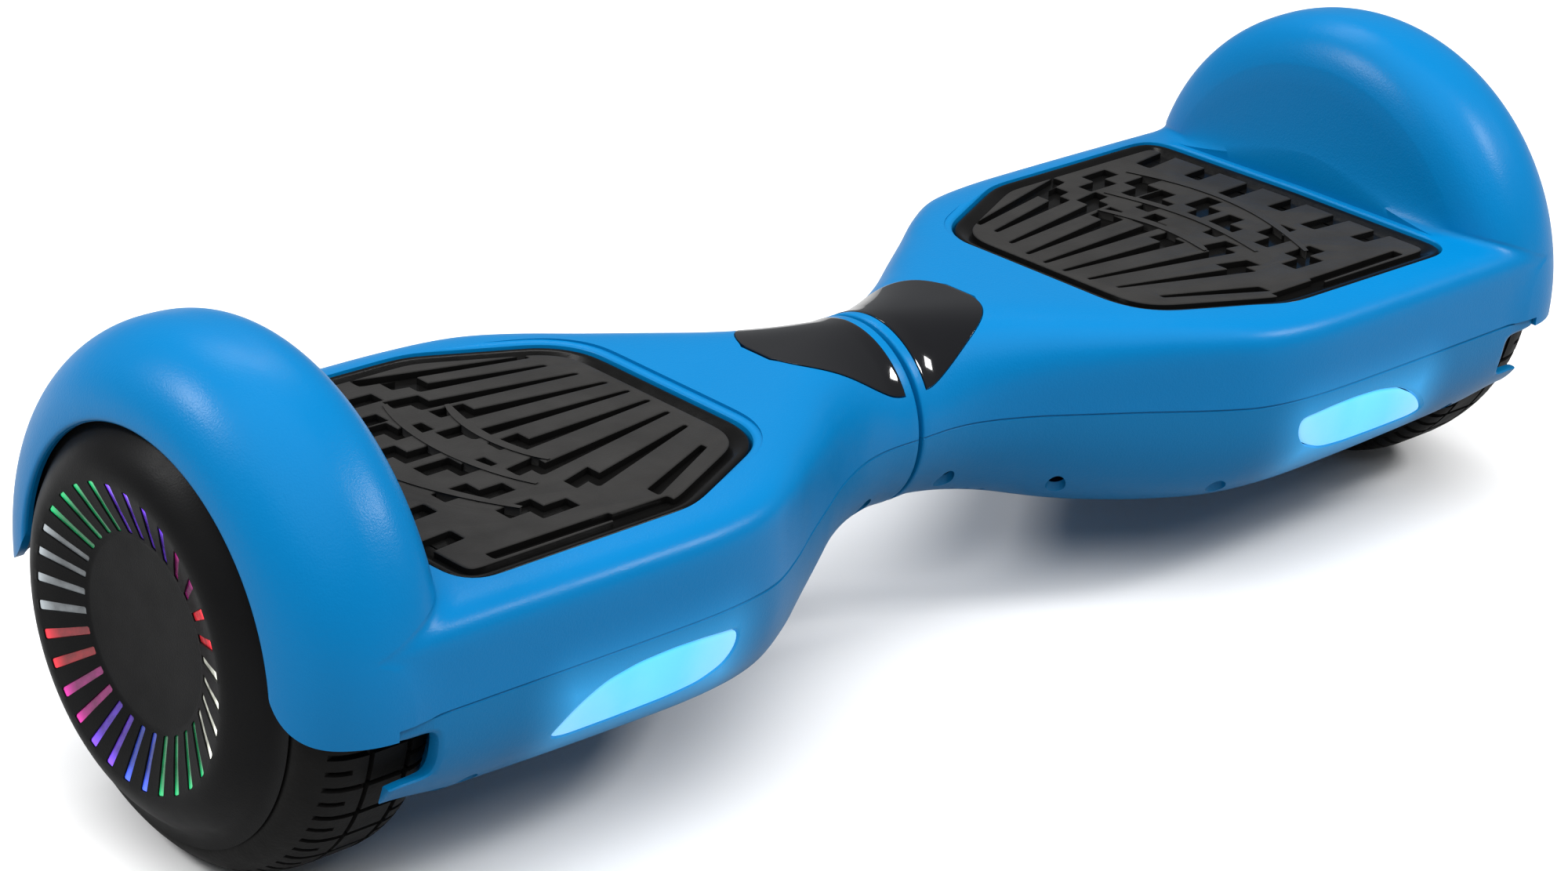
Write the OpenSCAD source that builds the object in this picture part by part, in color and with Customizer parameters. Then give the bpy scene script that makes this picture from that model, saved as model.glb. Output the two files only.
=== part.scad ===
// Self balancing hoverboard with two hub motor wheels.
// X runs along the board through both wheel axles, the lights face -Y, and Z is up.
// The origin is on the floor, midway between the wheels.
// Modules draw the +X half with the axle line at z = 0; on_axle() lifts it and half() mirrors it.

/* [Wheels] */
// Outer radius of the tyres, which sets the height of the axle line
tyre_r = 81; // [80:0.1:82]
// Where the tyre's inner sidewall is, from the middle of the board
tyre_x0 = 241; // [239:0.5:241]
// Where the tyre's outer sidewall is
tyre_x1 = 286; // [284:0.5:287]
// Width of the raised tread blocks along the axle
tread_block_w = 12; // [10:0.5:13]
// Number of tread blocks round the tyre
tread_count = 40; // [32:1:44]
// Number of light slots in each hubcap
slot_count = 32; // [24:1:36]

/* [Shells] */
// Height of the seam between upper and lower shells, from the axle line
seam_z = -3; // [-3.2:0.1:-2.8]
// Wall thickness of the shells
wall = 2.6; // [2.4:0.1:2.8]
// Half of the open gap between the two halves at the waist
waist_gap = 1; // [0.8:0.1:1.2]
// Where the lower shells end beside the wheels
cheek_x = 263.5; // [262:0.5:264]
// Radius of the round wheel opening in the fenders
opening_r = 65; // [64.5:0.5:66]

/* [Fenders] */
// Where the fender's inner face stands on the platform
fender_x0 = 234.5; // [234:0.5:235]
// Where the fender's crown is
fender_xc = 262; // [261:0.5:263]
// Where the fender ends outside the wheel
fender_x1 = 291.5; // [291:0.5:292]
// Radius of the fender's crown about the axle
fender_r = 91.5; // [91:0.1:92]

/* [Foot pads] */
// Depth of the pad's sunk floor below the platform
pad_step = 4; // [3.5:0.5:4.5]
// Travel of a pad when a foot presses it
pad_travel = 2; // [1.5:0.1:2]
// Clearance round a pad
pad_gap = 1; // [0.8:0.1:1.2]
// Height of the anti-slip ribs
rib_h = 3; // [2.5:0.1:3]
// Number of long anti-slip ribs on a pad
rib_count = 10; // [8:1:11]

/* [Centre joint] */
// Outer radius of the tube that joins the halves
shaft_r = 11; // [10.5:0.1:11.5]
// Length of the tube on each side of the middle
shaft_half = 60; // [58:1:62]
// Radial clearance of the running fits
fit = 0.05; // [0.02:0.01:0.08]

/* [Hidden] */
$fn = 64;
mesh_fn = 24;
fender_fn = 44;
upper_steps = 18;
lower_steps = 14;
fender_wall = 3;
over = 0.5;

SIDE_NODES = [
    "upper_shell", "lower_shell", "centre_cover", "frame", "foot_pad", "pad_tray", "pad_bumpers",
    "sensor_board", "headlight_lens", "headlight_board", "axle", "axle_clamp", "clamp_bolts",
    "shell_screws", "stator", "windings", "motor_cable", "tyre", "rotor_rim", "magnets",
    "motor_cover", "hubcap", "light_guides", "wheel_bearings", "hub_screws"
];

blue = "#1773c4";
blue_low = "#175f9e";
black = "#15161a";
rubber_grey = "#2b2a29";
metal = "#b9bcc0";
copper = "#b8703a";
board_green = "#1e6b3a";
lit_cyan = "#7fd4ff";

// ---- Body outline, as [x, value] stations from the waist to the wheel ---------------------------

half_width = [[0, 33], [15, 33], [28, 35.5], [45, 43], [62, 53.5], [80, 65], [98, 77], [115, 86],
              [135, 90], [160, 91], [236, 90.5], [264, 90]];
top_rise = [[0, 33.6], [15, 33.6], [40, 33], [70, 32.5], [100, 32], [140, 31], [236, 31]];
bottom_drop = [[0, 33.6], [12, 33.6], [40, 38], [75, 47], [110, 50], [150, 50], [236, 48], [264, 45]];
upper_power = [[0, 2], [12, 2], [40, 3.2], [75, 5.5], [110, 8], [236, 9]];
lower_power = [[0, 2], [12, 2], [50, 2.3], [110, 2.8], [264, 2.8]];
stations = [1, 15, 25, 35, 45, 56, 68, 80, 92, 104, 116, 136, 160, 232];

// Slope at station k, from its neighbours
function slope(t, k) = k == 0 || k == len(t) - 1 ? 0
    : (t[k + 1][1] - t[k - 1][1]) / (t[k + 1][0] - t[k - 1][0]);

// Cubic curve through the stations of table t
function hermite(t, k, u, w) =
    (2 * u * u * u - 3 * u * u + 1) * t[k][1] + (u * u * u - 2 * u * u + u) * w * slope(t, k)
    + (3 * u * u - 2 * u * u * u) * t[k + 1][1] + (u * u * u - u * u) * w * slope(t, k + 1);
function at(t, x) = x <= t[0][0] ? t[0][1]
    : x >= t[len(t) - 1][0] ? t[len(t) - 1][1]
    : let (k = max([for (i = [0 : len(t) - 2]) if (t[i][0] <= x) i]), w = t[k + 1][0] - t[k][0])
      hermite(t, k, (x - t[k][0]) / w, w);

function signed_pow(v, p) = sign(v) * pow(abs(v), p);

// Point of the superellipse section at x, at angle a from +Y, pulled in by inset
function section_point(x, a, inset) =
    let (up = sin(a) >= 0,
         p = 2 / at(up ? upper_power : lower_power, x),
         y = (at(half_width, x) - inset) * signed_pow(cos(a), p),
         h = at(up ? top_rise : bottom_drop, x) - inset)
    [x, y, seam_z + h * signed_pow(sin(a), p)];

// Half section from angle a0 to a1; its ends lie on the seam
function half_ring(x, inset, a0, a1, steps) =
    [for (i = [0 : steps]) section_point(x, a0 + (a1 - a0) * i / steps, inset)];

// Closed skin over rings of equal length, capped at both ends
module skin(rings) {
    n = len(rings[0]);
    m = len(rings);
    polyhedron(
        points = [for (r = rings) each r],
        faces = concat(
            [[for (j = [0 : n - 1]) j]],
            [for (i = [0 : m - 2], j = [0 : n - 1])
                let (a = i * n + j, b = i * n + (j + 1) % n) [a, a + n, b]],
            [for (i = [0 : m - 2], j = [0 : n - 1])
                let (a = i * n + j, b = i * n + (j + 1) % n) [b, a + n, b + n]],
            [[for (j = [n - 1 : -1 : 0]) (m - 1) * n + j]]
        )
    );
}

function stops(x0, x1) = concat([x0], [for (x = stations) if (x > x0 + 2 && x < x1 - 2) x], [x1]);

// Solid of the upper half of the body between x0 and x1
module upper_body(x0, x1, inset = 0) {
    skin([for (x = stops(x0, x1)) half_ring(x, inset, 0, 180, upper_steps)]);
}

// Solid of the lower half of the body between x0 and x1
module lower_body(x0, x1, inset = 0) {
    skin([for (x = stops(x0, x1)) half_ring(x, inset, 180, 360, lower_steps)]);
}

module on_axle() { translate([0, 0, tyre_r]) children(); }
module half(side) { on_axle() mirror([side < 0 ? 1 : 0, 0, 0]) children(); }
module x_cylinder(r, x0, x1) { translate([x0, 0, 0]) rotate([0, 90, 0]) cylinder(r = r, h = x1 - x0); }
module x_ring(r0, r1, x0, x1) {
    difference() {
        x_cylinder(r1, x0, x1);
        x_cylinder(r0, x0 - over, x1 + over);
    }
}
// Solid of revolution about the axle from [radius, x] points
module x_revolve(points, fn = $fn) { rotate([0, 90, 0]) rotate_extrude($fn = fn) polygon(points); }
module block(x0, x1, y0, y1, z0, z1) { translate([x0, y0, z0]) cube([x1 - x0, y1 - y0, z1 - z0]); }

// ---- Fender and wheel well ----------------------------------------------------------------------

fender_shoulder = 47.5;
outer_power = 2;
inner_power = 2.9;
curve_steps = 5;

// Quarter superellipse from the crown outwards or inwards, pulled in by t
function fender_curve(t) = concat(
    [for (i = [0 : curve_steps]) let (a = 90 - i * 90 / curve_steps)
        [fender_shoulder + (fender_r - fender_shoulder - t) * pow(sin(a), 2 / inner_power),
         fender_xc - (fender_xc - fender_x0 - t) * pow(cos(a), 2 / inner_power)]],
    [[0, fender_x0 + t], [0, fender_x1 - t]],
    [for (i = [0 : curve_steps]) let (a = i * 90 / curve_steps)
        [opening_r - 1 + (fender_r - opening_r + 1 - t) * pow(sin(a), 2 / outer_power),
         fender_xc + (fender_x1 - fender_xc - t) * pow(cos(a), 2 / outer_power)]]
);

module fender_solid() { x_revolve(fender_curve(0), fender_fn); }

module wheel_well() {
    x_revolve(fender_curve(fender_wall), fender_fn);
    rotate([0, 90, 0]) translate([0, 0, fender_xc]) cylinder(r = opening_r, h = 41, $fn = fender_fn);
}

leg_gap = 0.6;
leg_corner_r = 21.5;
leg_corner_y = 85.2;
leg_corner_z = 15;

// Everything the fender and its two legs may fill; each leg is rounded towards the wheel opening
module fender_limits() {
    leg_x0 = cheek_x + leg_gap;
    block(fender_x0 - 1, leg_x0, -100, 100, seam_z, 100);
    block(leg_x0 - 0.1, fender_x1 + 1, -100, 100, leg_corner_z, 100);
    for (s = [-1, 1]) {
        translate([0, s * leg_corner_y, leg_corner_z]) x_cylinder(leg_corner_r, leg_x0, fender_x1 + 1);
        translate([leg_x0, s * (leg_corner_y + 10) - 10, leg_corner_z - leg_corner_r])
            cube([fender_x1 + 1 - leg_x0, 20, leg_corner_r + 0.1]);
    }
}

// ---- Foot pads ----------------------------------------------------------------------------------

platform_z = seam_z + 31;
pad_z = platform_z - pad_step;

// Outline of the pad's hole, made smaller by inset: narrow towards the waist
module pad_outline(inset) {
    offset(delta = -inset) hull() {
        for (s = [-1, 1]) {
            translate([113, s * 33]) circle(r = 26, $fn = mesh_fn);
            translate([146, s * 47]) circle(r = 28, $fn = mesh_fn);
            translate([221, s * 66]) circle(r = 10, $fn = mesh_fn);
        }
        translate([222, 0]) circle(r = 11, $fn = mesh_fn);
    }
}

module pad_prism(inset, z0, z1) { translate([0, 0, z0]) linear_extrude(z1 - z0) pad_outline(inset); }

pad_rim = 5;

// Long ribs that fan out from the waist end, cut by cross channels towards the wheel
module pad_ribs(z0, z1) {
    for (i = [0 : rib_count - 1]) {
        spread = (i + 0.5) / rib_count * 2 - 1;
        hull() {
            translate([104, spread * 36, z0]) cylinder(r = 1.4, h = z1 - z0, $fn = 8);
            translate([215, spread * 64, z0]) cylinder(r = 3.6, h = z1 - z0, $fn = 8);
        }
    }
}

// Rubber mat: a raised rim round a sunk floor that carries the ribs
module foot_pad() {
    color(rubber_grey) difference() {
        pad_prism(pad_gap, pad_z - 2.5, pad_z + rib_h);
        difference() {
            pad_prism(pad_gap + pad_rim, pad_z, pad_z + rib_h + 1);
            pad_ribs(pad_z - 1, pad_z + rib_h + 2);
        }
    }
}

blade_places = [[130, -30], [130, 30]];

module pad_tray() {
    color(black) {
        pad_prism(pad_gap + 2, pad_z - 5.5, pad_z - 2.5);
        for (p = blade_places)
            translate([p[0], p[1], 0]) block(-4, 4, -1, 1, 4.8, pad_z - 5.5);
    }
}

bumper_places = [[98, -24], [98, 24], [208, -35], [208, 35]];

// Soft rubber springs that lift the tray off the frame
module pad_bumpers() {
    color(rubber_grey)
    for (p = bumper_places)
        translate([p[0], p[1], frame_top]) {
            cylinder(r = 6, h = 6);
            cylinder(r = 4, h = pad_z - 5.5 - pad_travel - 0.3 - frame_top);
        }
}

// ---- Screws through the lower shell into the upper one ------------------------------------------

screw_places = [[20, 25], [60, 41], [110, 72], [230, 78]];
screw_r = 1.9;
head_r = 3.6;
head_z = -13;

module at_screws() { for (p = screw_places, s = [-1, 1]) translate([p[0], s * p[1], 0]) children(); }

module shell_screws() {
    color(metal) at_screws() {
        translate([0, 0, head_z - 2.4]) cylinder(r = 3.2, h = 2.2);
        translate([0, 0, head_z - 0.3]) cylinder(r = 1.6, h = 18);
    }
}

// ---- Headlights ---------------------------------------------------------------------------------

// Outline of a light in [x, z]: blunt towards the waist, long and rounded towards the wheel
lens_outline = [[132.5, -11], [148, -9.4], [160, -9], [174, -9.6], [186, -11.8], [194, -15.6], [200, -20],
                [206, -27], [200, -28.4], [180, -28.4], [160, -28], [147, -26.6], [137, -22.5], [132.5, -17]];

module lens_prism(grow) {
    rotate([90, 0, 0]) linear_extrude(100) offset(r = grow, $fn = 16) polygon(lens_outline);
}

module headlight_lens() {
    color(lit_cyan) intersection() {
        difference() {
            lower_body(120, 220, 0.3);
            lower_body(115, 225, wall);
        }
        lens_prism(-0.4);
    }
}

module headlight_board() {
    color(board_green) block(140, 196, -82, -80.4, -24, -12);
    color("white") for (x = [148 : 8 : 188]) block(x - 2, x + 2, -83, -82, -20, -16);
}

// ---- Centre cover -------------------------------------------------------------------------------

cover_x0 = 5;
cover_len = 43;
cover_angle = 61;
cover_steps = 10;
cover_rings = 9;

// Half angle that the cover spans at x; grow widens it for the recess
function cover_half(x, grow) =
    min(85, max(1, cover_angle * (1 - pow(max(0, x - cover_x0) / cover_len, 1.65))) + grow);
function cover_arc(x, grow, inset) =
    let (h = cover_half(x, grow))
    [for (i = [0 : cover_steps]) section_point(x, 90 - h + 2 * h * i / cover_steps, inset)];
function reversed(list) = [for (i = [len(list) - 1 : -1 : 0]) list[i]];
module cover_solid(grow, inset0, inset1, x0, x1) {
    skin([for (i = [0 : cover_rings]) let (x = x0 + (x1 - x0) * i / cover_rings)
        concat(cover_arc(x, grow, inset0), reversed(cover_arc(x, grow, inset1)))]);
}

module centre_cover() {
    color(black) cover_solid(0, -0.2, 1.2, cover_x0, cover_x0 + cover_len - 0.6);
}

// ---- Upper shell --------------------------------------------------------------------------------

module upper_shell() {
    color(blue) difference() {
        union() {
            difference() {
                union() {
                    upper_body(waist_gap, 240);
                    intersection() {
                        fender_solid();
                        fender_limits();
                    }
                }
                upper_body(3.6, fender_x0 - 2, wall);
                wheel_well();
                pad_prism(0, 12, 40);
            }
            // Ledge under the pad and posts for the screws
            intersection() {
                difference() {
                    pad_prism(-2.2, 13, platform_z - 1);
                    pad_prism(0, 10, 40);
                }
                upper_body(80, 236, 1);
            }
            intersection() {
                at_screws() hull() {
                    translate([0, 0, seam_z]) cylinder(r = 4.2, h = 18, $fn = 14);
                    translate([0, 0, seam_z + 26]) cylinder(r = 5, h = 4, $fn = 14);
                }
                upper_body(3, 236, 1);
            }
        }
        pad_prism(0, 12, 40);
        wheel_well();
        cover_solid(1.2, -1.5, 1.4, cover_x0 - 0.2, cover_x0 + cover_len + 0.3);
        at_screws() translate([0, 0, seam_z - 1]) cylinder(r = screw_r, h = 16, $fn = 13);
        x_cylinder(12.5, -1, 10);
        x_cylinder(11, 225, 240);
    }
}

// ---- Lower shell --------------------------------------------------------------------------------

cheek_x0 = 237.5;
cheek_r = 85.8;
port_x = 165;
port_z = -14;
port_floor = 83.5;
button_x = 195;

// Round pocket in the back wall, as a tub of radius r at x
module back_pocket(x, r, y0, y1) {
    translate([x, y0, port_z]) rotate([-90, 0, 0]) cylinder(r = r, h = y1 - y0, $fn = mesh_fn);
}

air_slots = [31, 37, 43];
air_slot_y = 15;

module lower_shell(with_ports) {
    color(blue_low) difference() {
        union() {
            difference() {
                lower_body(waist_gap, cheek_x);
                lower_body(3.6, 233, wall);
            }
            intersection() {
                union() {
                    at_screws() hull() {
                        translate([0, 0, -60]) cylinder(r = head_r + 2.4, h = 2, $fn = 16);
                        translate([0, 0, head_z]) cylinder(r = head_r + 2, h = 4, $fn = 16);
                    }
                    at_screws() translate([0, 0, head_z]) cylinder(r = 4.2, h = seam_z - head_z, $fn = 16);
                    if (with_ports) {
                        back_pocket(port_x, 13.2, port_floor - 2.4, 95);
                        back_pocket(button_x, 10, port_floor - 2.4, 95);
                    }
                }
                lower_body(waist_gap, cheek_x, 0.1);
            }
        }
        x_revolve([[0, cheek_x0], [cheek_r, cheek_x0], [cheek_r, 300], [0, 300]], fender_fn);
        at_screws() translate([0, 0, -60]) cylinder(r = head_r, h = 60 + head_z, $fn = 16);
        at_screws() translate([0, 0, -20]) cylinder(r = screw_r, h = 30, $fn = 13);
        lens_prism(0);
        // Open notch beside the wheel under each fender leg
        hull() {
            translate([254, 0, -13]) rotate([90, 0, 0]) cylinder(r = 5, h = 200, center = true, $fn = 24);
            translate([254, 0, -19]) rotate([90, 0, 0]) cylinder(r = 5, h = 200, center = true, $fn = 24);
            translate([270, 0, -16]) rotate([90, 0, 0]) cylinder(r = 8, h = 200, center = true, $fn = 24);
        }
        // Air slots under the waist
        for (x = air_slots) hull() {
            translate([x, -air_slot_y, -60]) cylinder(r = 0.8, h = 42, $fn = 12);
            translate([x, air_slot_y, -60]) cylinder(r = 0.8, h = 42, $fn = 12);
        }
        x_cylinder(12.5, -1, 10);
        x_cylinder(11, 225, 240);
        if (with_ports) {
            back_pocket(port_x, 10.8, port_floor, 100);
            back_pocket(port_x, 8.2, port_floor - 5, 100);
            back_pocket(button_x, 7.6, port_floor, 100);
            back_pocket(button_x, 3.4, port_floor - 5, 100);
        }
    }
}

// ---- Cast frame ---------------------------------------------------------------------------------

frame_top = -8;
frame_low = -13;
clamp_x0 = 196;
clamp_x1 = 228;
clamp_top = 12;
axle_r = 8;
clamp_bolt_places = [[202, 15], [222, 15], [202, -15], [222, -15]];
frame_outline = [[14, -24], [40, -26], [92, -58], [120, -66], [222, -66], [222, 66], [120, 66], [92, 58],
                 [40, 26], [14, 24]];

// Cast aluminium tray. The bearing bore on the +X side turns on the shaft; the other grips it.
module frame(bore_r) {
    color(metal) difference() {
        union() {
            translate([0, 0, frame_low]) linear_extrude(frame_top - frame_low) polygon(frame_outline);
            block(14, 56, -20, 20, -22, 19);
            block(clamp_x0, clamp_x1, -24, 24, -18, -0.15);
            for (y = [-48, 48]) block(96, 218, y - 2.5, y + 2.5, -30, frame_top);
            for (x = [88, 214]) block(x - 2, x + 2, -48, 48, -24, frame_top);
        }
        x_cylinder(bore_r, 10, 60);
        x_cylinder(axle_r + 0.02, 172, 240);
        for (p = clamp_bolt_places) translate([p[0], p[1], -20]) cylinder(r = 2.6, h = 40);
        at_screws() translate([0, 0, -30]) cylinder(r = 7.5, h = 60);
    }
}

module axle_clamp() {
    color(metal) difference() {
        block(clamp_x0, clamp_x1, -24, 24, 0.15, clamp_top);
        x_cylinder(axle_r + 0.02, 172, 240);
        for (p = clamp_bolt_places) translate([p[0], p[1], -20]) cylinder(r = 2.6, h = 40);
    }
}

module clamp_bolts() {
    color("#5a5d61") for (p = clamp_bolt_places) translate([p[0], p[1], 0]) {
        translate([0, 0, clamp_top]) cylinder(r = 4.4, h = 3);
        translate([0, 0, -16]) cylinder(r = 2.5, h = clamp_top + 16);
    }
}

module sensor_board() {
    color(board_green) block(106, 170, -36, 36, frame_top + 2, frame_top + 3.6);
    color(black) for (p = blade_places) translate([p[0], p[1], frame_top + 3.6]) {
        block(-5, 5, -6, -2, 0, 9);
        block(-5, 5, 2, 6, 0, 9);
    }
    color(metal) for (x = [110, 166], y = [-33, 33])
        translate([x, y, frame_top]) cylinder(r = 2.4, h = 2);
}

// ---- Hub motor wheel ----------------------------------------------------------------------------

hub_x0 = 243;

module axle() {
    color(metal) difference() {
        x_cylinder(axle_r, 176, 284);
        x_cylinder(3.5, 170, 250);
    }
}

module stator() {
    color("#7a7f86") translate([254, 0, 0]) rotate([0, 90, 0]) linear_extrude(16) difference() {
        union() {
            circle(r = 34);
            for (i = [0 : 26]) rotate(i * 360 / 27) translate([28, -1.6]) square([18, 3.2]);
        }
        circle(r = axle_r);
    }
}

module windings() {
    color(copper) {
        x_revolve([[34.5, 249.5], [44, 249.5], [45, 251], [45, 253.8], [34.5, 253.8]]);
        x_revolve([[34.5, 270.2], [45, 270.2], [45, 273], [44, 274.5], [34.5, 274.5]]);
    }
}

module magnets() {
    color("#8d9096") for (i = [0 : 29]) rotate([i * 12, 0, 0]) block(252, 272, -4.4, 4.4, 47, 49.2);
}

module rotor_rim() {
    color(metal) x_revolve([[50, 247], [58, 247], [58, 244], [63, 244], [63, 249], [61, 252], [61, 270],
                            [63, 273], [63, 278], [58, 278], [58, 276], [50, 276]]);
}

bearing_r = 15;

module motor_cover() {
    color(metal) {
        x_revolve([[bearing_r, hub_x0], [57.8, hub_x0], [57.8, 246.8], [20, 246.8], [20, 250],
                   [bearing_r, 250]]);
        x_revolve([[bearing_r, 274.8], [20, 274.8], [20, 276.2], [57.8, 276.2], [57.8, 279],
                   [bearing_r, 279]]);
    }
}

module wheel_bearings() {
    color("#d4d6d9") {
        x_ring(axle_r + fit, bearing_r - 0.02, 243.2, 249.8);
        x_ring(axle_r + fit, bearing_r - 0.02, 275, 279);
    }
}

tread_depth = 2;

// Tyre with a flat, blocky tread and rounded shoulders
module tyre() {
    color(black) difference() {
        x_revolve([[63.2, 244], [66, tyre_x0 + 1], [72, tyre_x0], [78, tyre_x0 + 2], [tyre_r - 1.2, 247],
                   [tyre_r, 250], [tyre_r, 268], [tyre_r - 1, 274], [tyre_r - 3.5, 280],
                   [74.5, 285], [70, tyre_x1], [66, 284], [63.2, 278]]);
        for (x = [251, 264]) x_ring(tyre_r - tread_depth, tyre_r + 1, x, x + 2);
        for (i = [0 : tread_count - 1]) rotate([i * 360 / tread_count, 0, 0])
            block(253, 253 + tread_block_w - 1, -1, 1, tyre_r - tread_depth, tyre_r + 1);
    }
}

// Dished hubcap: flat centre, sloping ring of slots, round shoulder down to the tyre
dish_r = 31;
dish_x = 290;
slot_r0 = 32;
slot_r1 = 48.5;
slot_x1 = 297;
hubcap_outer = [[dish_r, dish_x], [slot_r1, slot_x1], [52, 296.4], [55.5, 294.8], [59, 292.4],
                [61.6, 290], [63.4, 288], [65, 287], [68.6, 286.2]];
slot_w = 3.2;
slot_shift = 0.25;

module slot_ring(w, r0, r1, x0, x1) {
    for (i = [0 : slot_count - 1]) rotate([(i + slot_shift) * 360 / slot_count, 0, 0])
        block(x0, x1, -w / 2, w / 2, r0, r1);
}

module hubcap() {
    color(black) difference() {
        x_revolve(concat([[0, dish_x]], hubcap_outer,
            [[62.8, 286.2], [62.8, 281.2], [60, 281.2], [60, 286.5], [55, 291], [50, 293],
             [31, 286.5], [0, 286.5]]));
        slot_ring(slot_w, slot_r0, slot_r1, 280, 305);
    }
}

module light_guides() {
    color("white") intersection() {
        slot_ring(slot_w - 0.4, slot_r0 + 0.2, slot_r1 - 0.2, 284, 300);
        x_revolve([[28, 286], [52, 292], [52, 297.6], [slot_r1, slot_x1 - 0.3], [28, 288.2]]);
    }
    color(board_green) x_ring(20, 54, 282.2, 283.8);
}

module hub_screws() {
    color("#5a5d61") for (i = [0 : 5]) rotate([i * 60 + 30, 0, 0]) {
        translate([0, 0, 54]) x_cylinder(2.9, hub_x0 - 2, hub_x0 - 0.1);
    }
}

// ---- Cables -------------------------------------------------------------------------------------

// Round points on the route of a motor lead, from the hollow axle to the waist
cable_route = [[190, 0, 0], [174, 0, 0], [168, 2, 0], [160, 6, 1], [150, 8, 1], [130, 8, 1], [110, 6, 1],
               [90, 3, 1], [76, 1, 0.5], [64, 0, 0], [58, 0, 0]];
cable_r = 3;

function unit(v) = v / norm(v);
function heading(p, i) = unit(p[min(i + 1, len(p) - 1)] - p[max(i - 1, 0)]);
function cable_ring(p, i, r) =
    let (t = heading(p, i), u = unit(cross(t, [0, 0, 1])), v = cross(t, u))
    [for (k = [0 : 9]) p[i] + r * (cos(36 * k) * u + sin(36 * k) * v)];

module motor_cable() {
    color(black) skin([for (i = [0 : len(cable_route) - 1]) cable_ring(cable_route, i, cable_r)]);
}

// ---- Centre joint -------------------------------------------------------------------------------

// Hollow tube pressed into the -X frame and turning in the +X frame
module centre_shaft() {
    color(metal) difference() {
        x_ring(7, shaft_r, -shaft_half, shaft_half);
        x_ring(shaft_r - 1, shaft_r + 1, 57.5, 58.9);
    }
}

bush_r = 14;

module shaft_bearings() {
    color("#c9a25a") {
        x_ring(shaft_r + fit, bush_r - 0.02, 14.2, 26);
        x_ring(shaft_r + fit, bush_r - 0.02, 44, 55.8);
    }
}

module retaining_ring() { color("#5a5d61") x_ring(shaft_r - 0.8, 13.5, 57.6, 58.8); }

// ---- Battery and electronics --------------------------------------------------------------------

module battery_pack() {
    color("#2a5fb0") hull() for (x = [96, 182], y = [-29, 29], z = [-38.5, -19.5])
        translate([x, y, z]) sphere(r = 5, $fn = 16);
    color(black) block(86.5, 90.8, -8, 8, -34, -26);
}

module battery_strap() {
    color(black) for (x = [112, 160]) difference() {
        block(x - 6, x + 6, -37, 37, -45.2, -13.6);
        block(x - 7, x + 7, -34.4, 34.4, -43.8, -14.4);
    }
}

module main_board() {
    color(board_green) block(96, 186, -38, 38, -30, -28.4);
    color(metal) block(100, 124, -34, 34, -28.4, -16);
    color(black) {
        block(132, 150, -10, 10, -28.4, -25.4);
        for (y = [-26, -13, 13, 26]) block(168, 180, y - 4, y + 4, -28.4, -21);
    }
    color("#39424e") for (y = [-24, 24]) translate([140, y, -28.4]) cylinder(r = 5, h = 10);
    color(metal) for (x = [99, 183], y = [-35, 35])
        translate([x, y, -28.4]) cylinder(r = 2.5, h = 28.4 + frame_low);
}

pin_places = [[0, 4], [-3.5, -2], [3.5, -2]];

module y_cylinder(x, z, r, y0, y1) { translate([x, y0, z]) rotate([-90, 0, 0]) cylinder(r = r, h = y1 - y0); }

// Three pin charging inlet
module charge_socket() {
    color(metal) {
        difference() {
            union() {
                y_cylinder(port_x, port_z, 8, 67, port_floor + 1.2);
                y_cylinder(port_x, port_z, 10.2, port_floor + 0.1, port_floor + 1.2);
            }
            y_cylinder(port_x, port_z, 6.2, 72, port_floor + 3);
        }
        for (p = pin_places) y_cylinder(port_x + p[0], port_z + p[1] * 0.8, 0.9, 71, 76);
    }
}

cap_hinge_z = port_z - 9.3;

// Rubber cap that swings down on its lower edge
module charge_cap() {
    color(black) {
        y_cylinder(port_x, port_z, 9.4, port_floor + 1.8, port_floor + 4);
        y_cylinder(port_x, port_z, 4.8, port_floor - 1, port_floor + 1.8);
        block(port_x - 5, port_x + 5, port_floor + 1.8, port_floor + 4, cap_hinge_z, port_z - 8);
    }
}

module power_button() {
    color("#c8ccd0") {
        y_cylinder(button_x, port_z, 6.8, port_floor + 2.2, port_floor + 5);
        y_cylinder(button_x, port_z, 2.8, port_floor - 8, port_floor + 2.2);
    }
}

// ---- The assembly -------------------------------------------------------------------------------

module side_node(side, name) {
    half(side) {
        if (name == "upper_shell") upper_shell();
        if (name == "lower_shell") lower_shell(side > 0);
        if (name == "centre_cover") centre_cover();
        if (name == "frame") frame(side > 0 ? bush_r : shaft_r + 0.01);
        if (name == "foot_pad") foot_pad();
        if (name == "pad_tray") pad_tray();
        if (name == "pad_bumpers") pad_bumpers();
        if (name == "sensor_board") sensor_board();
        if (name == "headlight_lens") headlight_lens();
        if (name == "headlight_board") headlight_board();
        if (name == "axle") axle();
        if (name == "axle_clamp") axle_clamp();
        if (name == "clamp_bolts") clamp_bolts();
        if (name == "shell_screws") shell_screws();
        if (name == "stator") stator();
        if (name == "windings") windings();
        if (name == "motor_cable") motor_cable();
        if (name == "tyre") tyre();
        if (name == "rotor_rim") rotor_rim();
        if (name == "magnets") magnets();
        if (name == "motor_cover") motor_cover();
        if (name == "hubcap") hubcap();
        if (name == "light_guides") light_guides();
        if (name == "wheel_bearings") wheel_bearings();
        if (name == "hub_screws") hub_screws();
    }
}

for (name = SIDE_NODES) side_node(-1, name);
for (name = SIDE_NODES) side_node(1, name);
on_axle() centre_shaft();
on_axle() shaft_bearings();
on_axle() retaining_ring();
half(-1) battery_pack();
half(-1) battery_strap();
half(1) main_board();
half(1) charge_socket();
half(1) charge_cap();
half(1) power_button();
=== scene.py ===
"""Looks of the self balancing hoverboard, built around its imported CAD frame."""
import math

import bmesh
import bpy
import numpy as np
from mathutils import Matrix, Vector


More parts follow.
